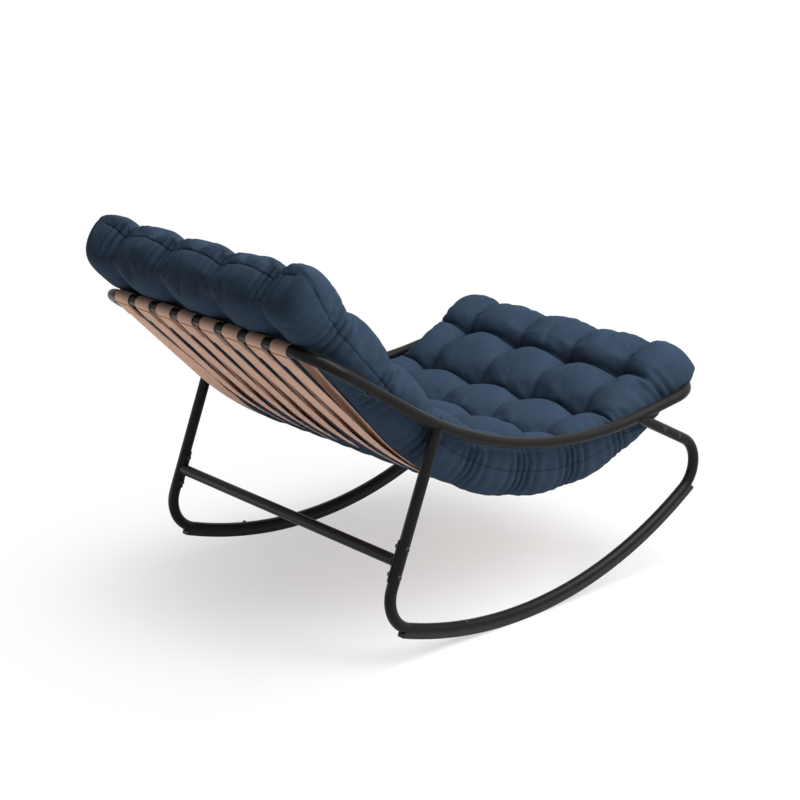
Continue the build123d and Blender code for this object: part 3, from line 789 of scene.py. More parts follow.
    def _stitches(self, mesh: bmesh.types.BMesh, place: Matrix, width: float) -> None:
        """Adds a box of stitches on one lap.

        Args:
            mesh: takes the stitches.
            place: place of the lap.
            width: width of the lap.
        """
        half_w = width / 2 - self.stitch_inset[0]
        half_l = self.lap_l / 2 - self.stitch_inset[1]
        rows_x = np.linspace(-half_w, half_w, self.stitches_across)
        rows_y = np.linspace(-half_l, half_l - self.stitch_clear, self.stitches_along)
        spots = [(x, y, 0.0) for y in (half_l, half_l - self.stitch_row) for x in rows_x]
        spots += [(x, y, math.pi / 2) for x in (-half_w, half_w) for y in rows_y]
        size = Matrix.Diagonal((*self.stitch, 1.0))
        for x, y, turn in spots:
            spot = Matrix.Translation((x, y, self.lap_t / 2)) @ Matrix.Rotation(turn, 4, "Z") @ size
            bmesh.ops.create_uvsphere(mesh, u_segments=6, v_segments=4, radius=1.0, matrix=place @ spot)


@dataclass
class TuftedPad:
    """One long loose pad, tufted in a grid and closed by one seam round its edge."""

    sling: Sling
    thick: float = 0.125
    edge_drop: float = -0.004
    bed_gap: float = 0.0003
    back_over: float = 0.126
    front_over: float = 0.044
    seam_v: float = 0.056
    back_seam_v: float = 0.080
    front_seam_v: float = -0.012
    front_fall: float = 0.30
    edge_x: float = 0.3745
    draw: float = 0.004
    back_corner: float = 0.014
    front_corner: float = 0.003
    back_plan: float = 0.036
    front_plan: float = 0.080
    plan_share: float = 0.72
    outer_sink: float = 0.011
    back_round: float = 0.060
    front_round: float = 0.108
    rows: int = 9
    end_row: float = 0.143
    puff: float = 0.174
    column_dip: float = 0.023
    row_dip: float = 0.030
    tuft_dip: float = 0.022
    under_dip: float = 0.014
    sink: float = 0.016
    ear: float = 0.008
    start_share: float = 0.96
    cap: float = 0.024
    frames: int = 20
    edge_share: float = 0.45
    back_fade: float = 0.15
    front_fade: float = 0.6
    tip_fade: float = 0.5
    side_fade: float = 0.75
    low_hollow: float = 0.3
    hollow_rise: tuple[float, float] = (0.15, 0.30)
    outer_rise: tuple[float, float] = (0.40, 0.25)
    side_end: tuple[float, int, float] = (2.5, 10, 1.1)
    front_end: tuple[float, int, float] = (2.9, 15, 1.0)
    back_end: tuple[float, int, float] = (2.6, 13, 1.2)
    first_cells: int = 3
    row_cells: int = 13
    last_cells: int = 8
    cell: float = 0.0105
    knot_gap: float = 0.003
    knot_end: float = 0.008
    lobe_pull: float = 0.013
    front_pull: float = 0.006
    lobe_drop: float = 0.008
    ear_from: float = 0.36
    ear_rise: float = 0.006
    crown_ramp: float = 0.045
    front_thin: float = 0.012
    row_lift: float = 0.004
    free_bulge: float = 0.005
    free_ramp: float = 0.06
    rail_clear: float = 0.05
    sag_ramp: float = 0.12
    bow: float = 0.005
    pleats: tuple[float, ...] = (1.0, -0.35, 0.85, -0.30, 0.55, -0.20, 0.25, 0.0)
    side_pleat: float = 0.0095
    end_pleat: float = 0.0085
    # Pleat depth at which the painted shade in a pleat is full.
    pleat_painted_shade: float = 0.0075
    side_ripple: tuple[float, float] = (0.0011, 0.047)
    end_ripple: tuple[float, float] = (0.0013, 0.055)
    spoke: float = 0.0014
    spoke_r: float = 0.024
    spoke_w: float = 0.014
    hang_low: float = -0.010
    rest_gap: float = 0.0006
    widest: float = 0.3762
    plain_corner: float = 0.6
    seam_w: float = 0.0016
    seam_depth: float = 0.0030
    # Share of painted shade on the floor of the seam groove.
    seam_painted_shade: float = 0.8

    def __post_init__(self) -> None:
        """Measures the line that the pad lies on."""
        lift = self.sling.strap_t / 2 + self.bed_gap
        self.bed = {end: self.sling.upper(end, lift) for end in End}
        spans = {}
        for end, over in ((End.BACK, self.back_over), (End.FRONT, self.front_over)):
            _, radius, heading, start, stop = self.bed[end]
            spans[end] = radius * heading + math.dist(start, stop) + over
        self.front_l = spans[End.FRONT]
        self.length = spans[End.FRONT] + spans[End.BACK]
        step = (self.length - 2 * self.end_row) / (self.rows - 2)
        self.channels = np.array([self.end_row + k * step for k in range(self.rows - 1)])
        self.columns = np.array([-1.5, -0.5, 0.5, 1.5]) * self.puff

    def bed_frame(self, s: np.ndarray) -> tuple[np.ndarray, np.ndarray, np.ndarray, np.ndarray]:
        """Places and upward normals of the bed line.

        Args:
            s: lengths from the pad's front end.

        Returns:
            The y and z of the points and the y and z of the normals.
        """
        reach = s - self.front_l
        y = np.zeros_like(reach)
        z = np.zeros_like(reach)
        slope = np.zeros_like(reach)
        for end in End:
            centre, radius, heading, start, _ = self.bed[end]
            pick = reach > 0 if end is End.BACK else reach <= 0
            travel = np.abs(reach[pick])
            angle = np.minimum(travel / radius, heading)
            past = np.maximum(travel - radius * heading, 0.0)
            across = radius * np.sin(angle) + past * math.cos(heading)
            y[pick] = self.sling.low_y + end.value * across
            z[pick] = centre[1] - radius * np.cos(angle) + past * math.sin(heading)
            slope[pick] = end.value * angle
        return y, z, -np.sin(slope), np.cos(slope)

    def _columns(self) -> tuple[np.ndarray, ...]:
        """Columns of the shell, from right to left.

        Returns:
            The flat distance from the middle, the reach and the height of the edge
            rounding, and the share of the way from a column of tufts to a crest.
        """
        half = self.puff / 2
        last = 3 * half
        self.round_x = last + self.edge_share * (self.edge_x - last)
        reach, height = round_off(*self.side_end)
        cells = self.side_end[1]
        lows, highs = self.sling.spans()
        gaps = [(a + b) / 2 for a, b in zip(highs, lows[1:])]
        inside = [x for x in (*lows, *highs, *gaps, *self.columns) if 0 < x < self.round_x - self.knot_end]
        knots = [0.0, *sorted(inside), self.round_x]
        flat = [np.zeros(1)]
        for a, b in zip(knots, knots[1:]):
            if b - a > self.knot_gap:
                flat.append(np.linspace(a, b, math.ceil((b - a) / self.cell) + 1)[1:])
        flat = np.concatenate([*flat, np.full(cells, self.round_x)])
        reach = np.concatenate([np.zeros(flat.size - cells), reach[1:]])
        height = np.concatenate([np.ones(flat.size - cells), height[1:]])
        inner = np.abs(flat[:, None] - np.abs(self.columns)[None, :]).min(axis=1) / half
        outer = (flat - last) / (self.round_x - last)
        share = np.clip(np.where(flat > last, outer, inner), 0.0, 1.0)
        halves = ((-1.0, flat), (-1.0, reach), (1.0, height), (1.0, share))
        return tuple(np.concatenate([sign * row[:0:-1], row]) for sign, row in halves)

    def _rows(self) -> tuple[np.ndarray, ...]:
        """Rows of the shell, from the front to the back.

        Returns:
            The length along the bed without the end rounding, the reach and the height
            of the end rounding, and the share of the way from a row of tufts to a crest.
        """
        stop = self.length - self.back_round
        front_reach, front_height = round_off(*self.front_end)
        back_reach, back_height = round_off(*self.back_end)
        front, back = self.front_end[1], self.back_end[1]
        flats = [np.full(front, self.front_round)]
        flats.append(np.linspace(self.front_round, self.channels[0], self.first_cells + 1)[:-1])
        for a, b in zip(self.channels, self.channels[1:]):
            flats.append(a + (b - a) * crowded(self.row_cells)[:-1])
        flats += [np.linspace(self.channels[-1], stop, self.last_cells + 1), np.full(back, stop)]
        flat = np.concatenate(flats)
        reach = np.zeros(flat.size)
        height = np.ones(flat.size)
        reach[:front] = -front_reach[:0:-1]
        height[:front] = front_height[:0:-1]
        reach[-back:] = back_reach[1:]
        height[-back:] = back_height[1:]
        half = (self.channels[1] - self.channels[0]) / 2
        share = np.abs(flat[:, None] - self.channels[None, :]).min(axis=1) / half
        return flat, reach, height, np.clip(share, 0.0, 1.0)

    def _sheets(self) -> dict[str, np.ndarray]:
        """Works out the two sheets of the shell in the pad's own lengths.

        Returns:
            Arrays by name: the place across, along and above the bed for the top and
            the bottom sheet, and the shares that say how near a point is to a seam,
            a channel or a tuft.
        """
        flat_x, reach_x, height_x, share_x = (a[:, None] for a in self._columns())
        flat_s, reach_s, height_s, share_s = (a[None, :] for a in self._rows())
        puff_x, puff_s = dome(share_x), dome(share_s)
        rise = height_x * height_s
        side, tip = np.abs(reach_x), np.abs(reach_s)
        at_back = flat_s > self.length / 2
        rounding = np.where(at_back, self.back_round, self.front_round)
        corner = np.where(at_back, self.back_corner, self.front_corner)
        edge = self.edge_x - self.draw * (1 - share_s) ** 3 - corner * (1 - height_s)
        across = flat_x + (edge - self.round_x) * reach_x
        soft_x = (1 - share_x) ** 2
        lobe = soft_x * (1 - side)
        ears = np.where(at_back, np.clip(np.abs(across) / self.ear_from, 0.0, 1.0) ** 6, 0.0)
        back_pull = self.lobe_pull * lobe + self.ear * (1 - ears)
        pull = np.where(at_back, back_pull, self.front_pull * soft_x) * tip**3
        along = flat_s + np.sign(reach_s) * (rounding * tip - pull)
        rest = np.where(at_back, self.length - along, along)
        last_row = np.clip(1 - rest / self.end_row, 0.0, 1.0)
        end_seam = np.where(at_back, self.back_seam_v, self.front_seam_v)
        fall = np.clip(1 - rest / np.where(at_back, self.end_row, self.front_fall), 0.0, 1.0)
        seam = self.seam_v + (end_seam - self.seam_v) * fall
        seam = seam - self.lobe_drop * lobe * tip**3 + self.ear_rise * ears * tip**3
        tuft = ((1 - share_x) * (1 - share_s)) ** 2
        crown = self.thick - self.edge_drop * ramp(np.abs(flat_x), self.columns[-1], self.crown_ramp)
        crown = crown - np.where(at_back, 0.0, self.front_thin) * last_row
        front_fade = (1 - self.front_fade * last_row) * (1 - self.tip_fade * tip)
        fade_x = np.where(at_back, 1 - self.back_fade * last_row, front_fade)
        fade_s = 1 - self.side_fade * side**1.5
        top = crown - self.column_dip * (1 - puff_x) * fade_x - self.row_dip * (1 - puff_s) * fade_s
        top = top - self.tuft_dip * tuft
        free = ramp(along, self.length - self.back_over - self.free_ramp / 2, self.free_ramp)
        under = self.under_dip * soft_x * free + self.row_lift * (1 - share_s) ** 2
        under = under - self.free_bulge * free * (1 - soft_x) - self.sag(across, along)
        bow = self._bows(across, along)
        cut = self._corner_cut(across, along)
        shape = np.broadcast_shapes(across.shape, along.shape)
        return {
            "across": np.broadcast_to(across, shape) + bow[0] - cut[0],
            "along": np.broadcast_to(along, shape) + bow[1] - cut[1],
            "top": seam + (top * self.start_share - seam) * rise,
            "under": seam - (seam - under) * rise,
            "side": np.broadcast_to(side, shape),
            "tip": np.broadcast_to(tip, shape),
            "tuft": tuft,
            "column": np.broadcast_to(1 - share_x, shape),
            "row": np.broadcast_to(1 - share_s, shape),
            "free": np.broadcast_to(free, shape),
            "step_x": np.broadcast_to(steps_from(share_x.ravel())[:, None], shape),
            "step_s": np.broadcast_to(steps_from(share_s.ravel())[None, :], shape),
        }

    def sag(self, across: np.ndarray, along: np.ndarray) -> np.ndarray:
        """Depth by which the pad sinks between the straps and beside them.

        Args:
            across: places across the pad.
            along: lengths from its front end.

        Returns:
            The depths below the bed, 0 over the straps and near the rails.
        """
        lows, highs = self.sling.spans()
        width = lows[1] - highs[0]
        middles = np.array([(a + b) / 2 for a, b in zip(highs, lows[1:])])
        off = np.abs(np.asarray(across)[..., None] - middles).min(axis=-1) / (width / 2)
        hollow = np.cos(0.5 * np.pi * np.clip(off * 1.08, 0.0, 1.0)) ** 2
        rise = ramp(along - self.front_l, *self.hollow_rise)
        hollow = hollow * (self.low_hollow + (1 - self.low_hollow) * rise)
        beside = (np.abs(across) - highs[-1]) / (self.edge_x - highs[-1])
        outer = np.sin(np.pi * np.clip(beside, 0.0, 1.0)) ** 2
        outer = outer * np.where(across > 0, ramp(along - self.front_l, *self.outer_rise), 1.0)
        front = ramp(along - self.front_over, self.rail_clear, self.sag_ramp)
        back = ramp(self.length - self.back_over - along, self.rail_clear, self.sag_ramp)
        return (self.sink * hollow + self.outer_sink * outer) * np.minimum(front, back)

    def _corner_cut(self, across: np.ndarray, along: np.ndarray) -> tuple[np.ndarray, np.ndarray]:
        """How far the four corners are drawn in to round them in plan.

        Args:
            across: places across the pad.
            along: lengths from its front end.

        Returns:
            The steps to take off across and along.
        """
        at_back = along > self.length / 2
        radius = np.where(at_back, self.back_plan, self.front_plan)
        rest = np.where(at_back, self.length - along, along)
        near_x = np.clip(1 - (self.edge_x - np.abs(across)) / radius, 0.0, 1.0)
        near_s = np.clip(1 - rest / radius, 0.0, 1.0)
        cut_x = self.plan_share * radius * near_x * (1 - np.sqrt(1 - near_s**2 / 2))
        cut_s = self.plan_share * radius * near_s * (1 - np.sqrt(1 - near_x**2 / 2))
        return np.sign(across) * cut_x, np.where(at_back, cut_s, -cut_s)

    def _bows(self, across: np.ndarray, along: np.ndarray) -> tuple[np.ndarray, np.ndarray]:
        """Small sideways sway of the channels between two tufts.

        Args:
            across: places across the pad.
            along: lengths from its front end.

        Returns:
            The steps across and along.
        """
        step = self.channels[1] - self.channels[0]
        row = (along - self.channels[0]) / step
        column = (across - self.columns[0]) / self.puff
        sway_x = np.sin(np.pi * row) * np.sin(2.6 * np.floor(row) + 1.7 * np.round(column) + 0.4)
        sway_s = np.sin(np.pi * column) * np.sin(1.9 * np.floor(column) + 3.1 * np.round(row) + 1.1)
        inside_x = np.clip((self.edge_x - np.abs(across)) / 0.08, 0.0, 1.0)
        inside_s = np.clip(np.minimum(along, self.length - along) / 0.15, 0.0, 1.0)
        inside = inside_x * inside_s
        return self.bow * sway_x * inside, self.bow * sway_s * inside

    def _place(self, across: np.ndarray, along: np.ndarray, above: np.ndarray) -> np.ndarray:
        """Turns the pad's own lengths into points of the chair's frame."""
        y, z, ny, nz = self.bed_frame(along)
        return np.stack([across, y + above * ny, z + above * nz], axis=-1)

    def build(self, finish: bpy.types.Material) -> bpy.types.Object:
        """Makes the pad.

        Args:
            finish: its cloth.

        Returns:
            The pad, which replaces its solid.
        """
        sheets = self._sheets()
        cells_x, cells_s = (n - 1 for n in sheets["across"].shape)
        mesh = bmesh.new()
        layer = mesh.loops.layers.uv.new("Cloth")
        index = mesh.verts.layers.int.new("cell")
        for number, name in enumerate(("top", "under")):
            points = self._place(sheets["across"], sheets["along"], sheets[name])
            lengths_x, lengths_s = self._lengths(points)
            made = bmesh.ops.create_grid(mesh, x_segments=cells_x, y_segments=cells_s, size=0.5)["verts"]
            for vert in made:
                i = round((vert.co.x + 0.5) * cells_x)
                j = round((vert.co.y + 0.5) * cells_s)
                vert[index] = i * (cells_s + 1) + j + number * sheets["across"].size
                vert.co = points[i, j]
                for corner in vert.link_loops:
                    corner[layer].uv = (lengths_x[i], lengths_s[j])
            if name == "under":
                faces = list({face for vert in made for face in vert.link_faces})
                bmesh.ops.reverse_faces(mesh, faces=faces)
        bmesh.ops.remove_doubles(mesh, verts=mesh.verts[:], dist=1e-6)
        bmesh.ops.recalc_face_normals(mesh, faces=mesh.faces[:])
        mesh.verts.ensure_lookup_table()
        cells = np.array([vert[index] for vert in mesh.verts])
        piece = add_piece("tufted_pad", mesh, finish, "cushion")
        marks = {key: np.concatenate([a.ravel(), a.ravel()])[cells] for key, a in sheets.items()}
        marks["upper"] = cells < sheets["across"].size
        self._crease(piece, marks)
        self._inflate(piece, marks)
        self._gather(piece, marks)
        self._settle(piece, marks)
        self._sew(piece, marks)
        smooth = piece.modifiers.new("smooth", "SUBSURF")
        smooth.levels = 1
        smooth.render_levels = 1
        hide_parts("cushion")
        return piece

    def _crease(self, piece: bpy.types.Object, marks: dict[str, np.ndarray]) -> None:
        """Keeps the channels and pleats sharp when the shell is smoothed, and marks the channel lines for
        painted shade in their depth.

        Args:
            piece: the pad.
            marks: shares of its vertices.
        """
        ends = np.zeros(2 * len(piece.data.edges), dtype=np.int32)
        piece.data.edges.foreach_get("vertices", ends)
        ends = ends.reshape(-1, 2)
        inside = marks["upper"] & (marks["side"] < 0.6) & (marks["tip"] < 0.3)
        sharp = np.zeros(len(ends))
        for name, level in (("column", 0.55), ("row", 0.85)):
            on = inside & (marks[name] > 0.999)
            sharp = np.maximum(sharp, level * on[ends].all(axis=1))
        for name, edge in (("step_s", "side"), ("step_x", "tip")):
            on = (marks[edge] > 0.25) & (marks[name] % 2 == 0) & (marks[name] < 6)
            sharp = np.maximum(sharp, 0.5 * on[ends].all(axis=1))
        layer = piece.data.attributes.new("crease_edge", "FLOAT", "EDGE")
        layer.data.foreach_set("value", sharp)
        # Painted shade: the channel lines of the top sheet are marked to be darkened in the cloth's colour,
        # as if their depth were in shadow.
        dark = np.maximum(0.75 * (marks["column"] > 0.999), marks["row"] > 0.999) * inside
        layer = piece.data.attributes.new("painted_crease_shade", "FLOAT", "POINT")
        layer.data.foreach_set("value", dark)

    def _lengths(self, points: np.ndarray) -> tuple[np.ndarray, np.ndarray]:
        """Measures a sheet along its columns and rows.

        Args:
            points: places of its vertices.

        Returns:
            The mean lengths across and along, in metres.
        """
        steps_x = np.linalg.norm(np.diff(points, axis=0), axis=-1).mean(axis=1)
        steps_s = np.linalg.norm(np.diff(points, axis=1), axis=-1).mean(axis=0)
        return np.concatenate([[0], np.cumsum(steps_x)]), np.concatenate([[0], np.cumsum(steps_s)])

    def _inflate(self, piece: bpy.types.Object, marks: dict[str, np.ndarray]) -> None:
        """Swells the shell with a cloth simulation and applies the result.

        Args:
            piece: the pad.
            marks: shares of its vertices.
        """
        rest = read_points(piece.data)
        held = np.clip(marks["tuft"] * 2.5, 0.0, 1.0)
        held = np.maximum(held, 0.5 * np.maximum(marks["column"], marks["row"]) ** 6)
        held = np.maximum(held, np.where(marks["upper"], 0.0, 0.85 * (1 - marks["free"])))
        seam = np.maximum(marks["side"], marks["tip"]) > 0.999
        held = np.where(seam, 0.6, held)
        group = piece.vertex_groups.new(name="held")
        for level in np.unique(held.round(2)):
            chosen = np.flatnonzero(held.round(2) == level).tolist()
            group.add(chosen, float(level), "REPLACE")
        cloth = piece.modifiers.new("swell", "CLOTH")
        settings = cloth.settings
        settings.quality = 4
        settings.mass = 0.25
        settings.air_damping = 3.0
        settings.tension_stiffness = 22.0
        settings.compression_stiffness = 14.0
        settings.shear_stiffness = 8.0
        settings.bending_stiffness = 0.8
        settings.use_pressure = True
        settings.uniform_pressure_force = 4.0
        settings.vertex_group_mass = "held"
        settings.pin_stiffness = 1.0
        settings.shrink_min = -0.035
        settings.effector_weights.gravity = 0.0
        cloth.collision_settings.use_collision = False
        scene = bpy.context.scene
        for number in range(1, self.frames + 1):
            scene.frame_set(number)
        graph = bpy.context.evaluated_depsgraph_get()
        moved = read_points(piece.evaluated_get(graph).data)
        piece.modifiers.remove(cloth)
        scene.frame_set(1)
        step = moved - rest
        size = np.linalg.norm(step, axis=1, keepdims=True)
        LOG.info("pad swells by up to %.1f mm", 1000 * size.max())
        step *= np.minimum(1.0, self.cap / np.maximum(size, 1e-9))
        write_points(piece.data, rest + step)

    def _gather(self, piece: bpy.types.Object, marks: dict[str, np.ndarray]) -> None:
        """Adds the small folds that the seam and the tufts pull into the cloth, and marks the deepest pleats
        for painted shade.

        Args:
            piece: the pad.
            marks: shares of its vertices.
        """
        points = read_points(piece.data)
        normals = np.zeros(points.size)
        piece.data.vertices.foreach_get("normal", normals)
        normals = normals.reshape(-1, 3)
        x, s = marks["across"], marks["along"]
        side, tip = marks["side"], marks["tip"]
        step = self.channels[1] - self.channels[0]
        row, column = (s - self.channels[0]) / step, (x - self.columns[0]) / self.puff
        pleats = np.array(self.pleats)
        most = pleats.size - 1
        uneven = 0.75 + 0.25 * np.sin(5.3 * np.round(row) + 2.1 * np.sign(x))
        folds = -self.side_pleat * pleats[np.minimum(marks["step_s"], most)] * uneven * side**1.3 * (1 - tip)
        uneven = 0.75 + 0.25 * np.sin(4.1 * np.round(column) + 1.0)
        folds -= self.end_pleat * pleats[np.minimum(marks["step_x"], most)] * uneven * tip**1.3 * (1 - side)
        # Painted shade: the deepest pleat creases are marked to be darkened in the cloth's colour.
        layer = piece.data.attributes["painted_crease_shade"].data
        dark = np.zeros(len(layer))
        layer.foreach_get("value", dark)
        layer.foreach_set("value", np.maximum(dark, np.clip(-folds / self.pleat_painted_shade, 0.0, 0.95)))
        height, pitch = self.side_ripple
        wander = 0.35 * np.sin(23.0 * s + 3.0 * np.sin(9.0 * s)) + 0.5 * np.sin(5.1 * s + 1.0)
        folds += side**4 * (1 - tip) * height * np.sin(TAU * s / pitch + 5.0 * wander)
        height, pitch = self.end_ripple
        wander = 0.4 * np.sin(31.0 * x + 2.0 * np.sin(13.0 * x)) + 0.5 * np.sin(7.7 * x + 2.0)
        folds += tip**3 * height * np.sin(TAU * x / pitch + 5.0 * wander)
        dx = (column - np.clip(np.round(column), 0, 3)) * self.puff
        ds = (row - np.clip(np.round(row), 0, self.rows - 2)) * step
        near = np.exp(-(((np.hypot(dx, ds) - self.spoke_r) / self.spoke_w) ** 2))
        spokes = np.cos(7.0 * np.arctan2(ds, dx) + 1.3 * np.round(s / step)) * near
        folds += np.where(marks["upper"], self.spoke * spokes * (1 - tip), 0.0)
        write_points(piece.data, points + normals * folds[:, None])

    def _settle(self, piece: bpy.types.Object, marks: dict[str, np.ndarray]) -> None:
        """Keeps the pad on the straps and between the side rails.

        Args:
            piece: the pad.
            marks: shares of its vertices.
        """
        points = read_points(piece.data)
        y, z, ny, nz = self.bed_frame(marks["along"])
        above = (points[:, 1] - y) * ny + (points[:, 2] - z) * nz
        bare = np.where(marks["free"] > 0.5, self.hang_low, self.rest_gap)
        floor = np.where(marks["upper"], bare, bare - self.sag(points[:, 0], marks["along"]))
        lift = np.maximum(floor - above, 0.0)
        points[:, 1] += lift * ny
        points[:, 2] += lift * nz
        points[:, 0] = np.clip(points[:, 0], -self.widest, self.widest)
        write_points(piece.data, points)

    def _sew(self, piece: bpy.types.Object, marks: dict[str, np.ndarray]) -> None:
        """Draws the edge seam into the cloth as a narrow groove, which ends before the corners, and paints
        shade into the groove.

        Args:
            piece: the pad.
            marks: shares of its vertices.
        """
        sewn = set(np.flatnonzero(np.maximum(marks["side"], marks["tip"]) > 0.9999).tolist())
        mesh = bmesh.new()
        mesh.from_mesh(piece.data)
        corner = np.minimum(marks["side"], marks["tip"]) > self.plain_corner
        sewn -= set(np.flatnonzero(corner).tolist())
        edges = [e for e in mesh.edges if e.verts[0].index in sewn and e.verts[1].index in sewn]
        made = bmesh.ops.bevel(
            mesh, geom=edges, offset=self.seam_w, segments=2, profile=0.5, affect="EDGES", material=-1
        )
        strips = set(made["faces"])
        inner = [v for v in made["verts"] if v.is_valid and strips.issuperset(v.link_faces)]
        mesh.normal_update()
        painted_crease_shade = mesh.verts.layers.float["painted_crease_shade"]
        shifts = [(vert, vert.normal * self.seam_depth) for vert in inner]
        # Painted shade: the groove's floor is sunk and marked to be darkened in the cloth's colour.
        for vert, shift in shifts:
            vert.co -= shift
            vert[painted_crease_shade] = self.seam_painted_shade
        mesh.to_mesh(piece.data)
        mesh.free()
        piece.data.polygons.foreach_set("use_smooth", [True] * len(piece.data.polygons))


def ramp(value: np.ndarray, start: float, length: float) -> np.ndarray:
    """Rises from 0 to 1 over a length from a start."""
    return np.clip((value - start) / length, 0.0, 1.0)


def crowded(cells: int) -> np.ndarray:
    """Divisions from 0 to 1 that lie closer together at both ends."""
    even = np.linspace(0.0, 1.0, cells + 1)
    return 0.55 * even + 0.45 * (0.5 - 0.5 * np.cos(np.pi * even))


def steps_from(share: np.ndarray) -> np.ndarray:
    """Number of divisions between each place and the nearest line of tufts."""
    lines = np.flatnonzero(share < 1e-6)
    return np.abs(np.arange(share.size)[:, None] - lines[None, :]).min(axis=1)


def round_off(power: float, cells: int, aspect: float) -> tuple[np.ndarray, np.ndarray]:
    """Evenly divided quarter of a full, rounded outline.

    Args:
        power: fullness; 2 is an ellipse.
        cells: number of divisions.
        aspect: width of the quarter for its height.

    Returns:
        The reach from the crest and the height, both from 0 to 1.
    """
    turn = np.linspace(0.0, math.pi / 2, 400)
    reach = np.sin(turn) ** (2 / power)
    height = np.cos(turn) ** (2 / power)
    height[-1] = 0.0
    walked = np.concatenate([[0.0], np.cumsum(np.hypot(aspect * np.diff(reach), np.diff(height)))])
    stops = np.linspace(0.0, walked[-1], cells + 1)
    return np.interp(stops, walked, reach), np.interp(stops, walked, height)


def dome(share: np.ndarray) -> np.ndarray:
    """Height of a round puff at a share of the way from its crease to its crest."""
    return np.sqrt(np.clip(1 - (1 - np.clip(share, 0.0, 1.0)) ** 2, 0.0, 1.0))


def read_points(mesh: bpy.types.Mesh) -> np.ndarray:
    """Reads the vertex places of a mesh.

    Args:
        mesh: the mesh.

    Returns:
        The places as rows of an array.
    """
    flat = np.zeros(3 * len(mesh.vertices))
    mesh.vertices.foreach_get("co", flat)
    return flat.reshape(-1, 3)


def write_points(mesh: bpy.types.Mesh, points: np.ndarray) -> None:
    """Sets the vertex places of a mesh."""
    mesh.vertices.foreach_set("co", points.ravel())
    mesh.update()


@dataclass
class TubeFrame:
    """Bolted tube frame: its finishes and the weld beads at its joints."""

    tube_r: float = 0.0125
    half_w: float = 0.390
    seat_c: tuple[float, float] = (-0.230, 1.3855)
    seat_r: float = 1.005
    crossbar: tuple[float, float] = (0.347, 0.227)
    lean: float = math.radians(111.0)
    leg_y: float = -0.367
    leg_slope: float = math.radians(27.6)
    saddle_r: float = 0.015
    bead_r: float = 0.0024
    ripples: int = 36
    ripple_share: float = 0.62
    halvings: int = 24
    upright_reach: float = 0.06
    leg_reach: float = 0.08
    saddle_reach: float = 0.03

    def dress(self, finishes: Finishes) -> None:
        """Gives every solid of the frame its finish.

        Args:
            finishes: the finishes of the chair.
        """
        tubes = ("rail", "upright", "stub", "crossbar", "rocker", "saddle")
        small = ("bolts", "nuts", "inserts", "screws", "rivets")
        for name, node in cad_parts.items():
            material = None
            if any(word in name for word in tubes):
                material = finishes.coating
            if "strip_" in name:
                material = finishes.strip
            if name.endswith(small):
                material = finishes.hardware
            if material is not None:
                node.data.materials.clear()
                node.data.materials.append(material)
                LOG.info("dressed %s", name)

    def welds(self, finish: bpy.types.Material) -> bpy.types.Object:
        """Rippled weld beads where the uprights and legs meet the side rails.

        Args:
            finish: the coating.

        Returns:
            One piece with all the beads.
        """
        mesh = bmesh.new()
        up = Vector((0, math.cos(self.lean), math.sin(self.lean)))
        leg = Vector((0, math.cos(self.leg_slope), math.sin(self.leg_slope)))
        leg_z = self.seat_c[1] - math.sqrt(self.seat_r**2 - (self.leg_y - self.seat_c[0]) ** 2)
        for side in (1, -1):
            bar = Vector((side * self.half_w, *self.crossbar))
            top = bar + up * self._meets_rail(bar, up)
            self._bead(mesh, top, up, self._rail_gap, self.upright_reach)
            foot = Vector((side * self.half_w, self.leg_y, leg_z))
            self._bead(mesh, foot, leg, self._rail_gap, self.leg_reach)
            outward = Vector((side, 0, 0))
            self._bead(mesh, bar, outward, lambda p, c=bar: self._saddle_gap(p, c, up), self.saddle_reach)
        return add_piece("weld_beads", mesh, finish, "frame")

    def _meets_rail(self, start: Vector, heading: Vector) -> float:
        """Measures from a point to the centre line of the side rail.

        Args:
            start: the point.
            heading: direction to measure in.

        Returns:
            The length.
        """
        arm = start - Vector((start.x, *self.seat_c))
        along = arm.dot(heading)
        return -along - math.sqrt(along**2 - arm.length_squared + self.seat_r**2)

    def _rail_gap(self, point: Vector) -> float:
        """Distance from the surface of the side rail, negative inside it."""
        ring = math.hypot(point.y - self.seat_c[0], point.z - self.seat_c[1]) - self.seat_r
        return math.hypot(ring, abs(point.x) - self.half_w) - self.tube_r

    def _saddle_gap(self, point: Vector, centre: Vector, axis: Vector) -> float:
        """Distance from the outer face of a saddle plate."""
        arm = point - centre
        return (arm - axis * arm.dot(axis)).length - self.saddle_r

    def _bead(
        self,
        mesh: bmesh.types.BMesh,
        end: Vector,
        axis: Vector,
        gap: Callable[[Vector], float],
        reach: float,
    ) -> None:
        """Adds a ring of ripples where a tube runs into another piece.

        Args:
            mesh: takes the ripples.
            end: point on the tube's axis inside the other piece.
            axis: direction of the tube towards that piece.
            gap: distance of a point from the other piece's surface.
            reach: length of the tube in which the joint lies.
        """
        first = Vector((1, 0, 0)) if abs(axis.x) < 0.5 else Vector((0, 1, 0))
        first = (first - axis * first.dot(axis)).normalized()
        second = axis.cross(first)
        points = []
        for step in range(self.ripples):
            turn = TAU * step / self.ripples
            ray = end + (first * math.cos(turn) + second * math.sin(turn)) * self.tube_r
            near, far = 0.0, reach
            for _ in range(self.halvings):
                middle = (near + far) / 2
                if gap(ray - axis * middle) > 0:
                    far = middle
                else:
                    near = middle
            points.append(ray - axis * far)
        size = Matrix.Diagonal((self.ripple_share, 1.0, 1.0, 1.0))
        for index, point in enumerate(points):
            heading = (points[(index + 1) % self.ripples] - points[index - 1]).normalized()
            place = Matrix.Translation(point) @ heading.to_track_quat("X", "Z").to_matrix().to_4x4() @ size
            bmesh.ops.create_uvsphere(mesh, u_segments=8, v_segments=6, radius=self.bead_r, matrix=place)


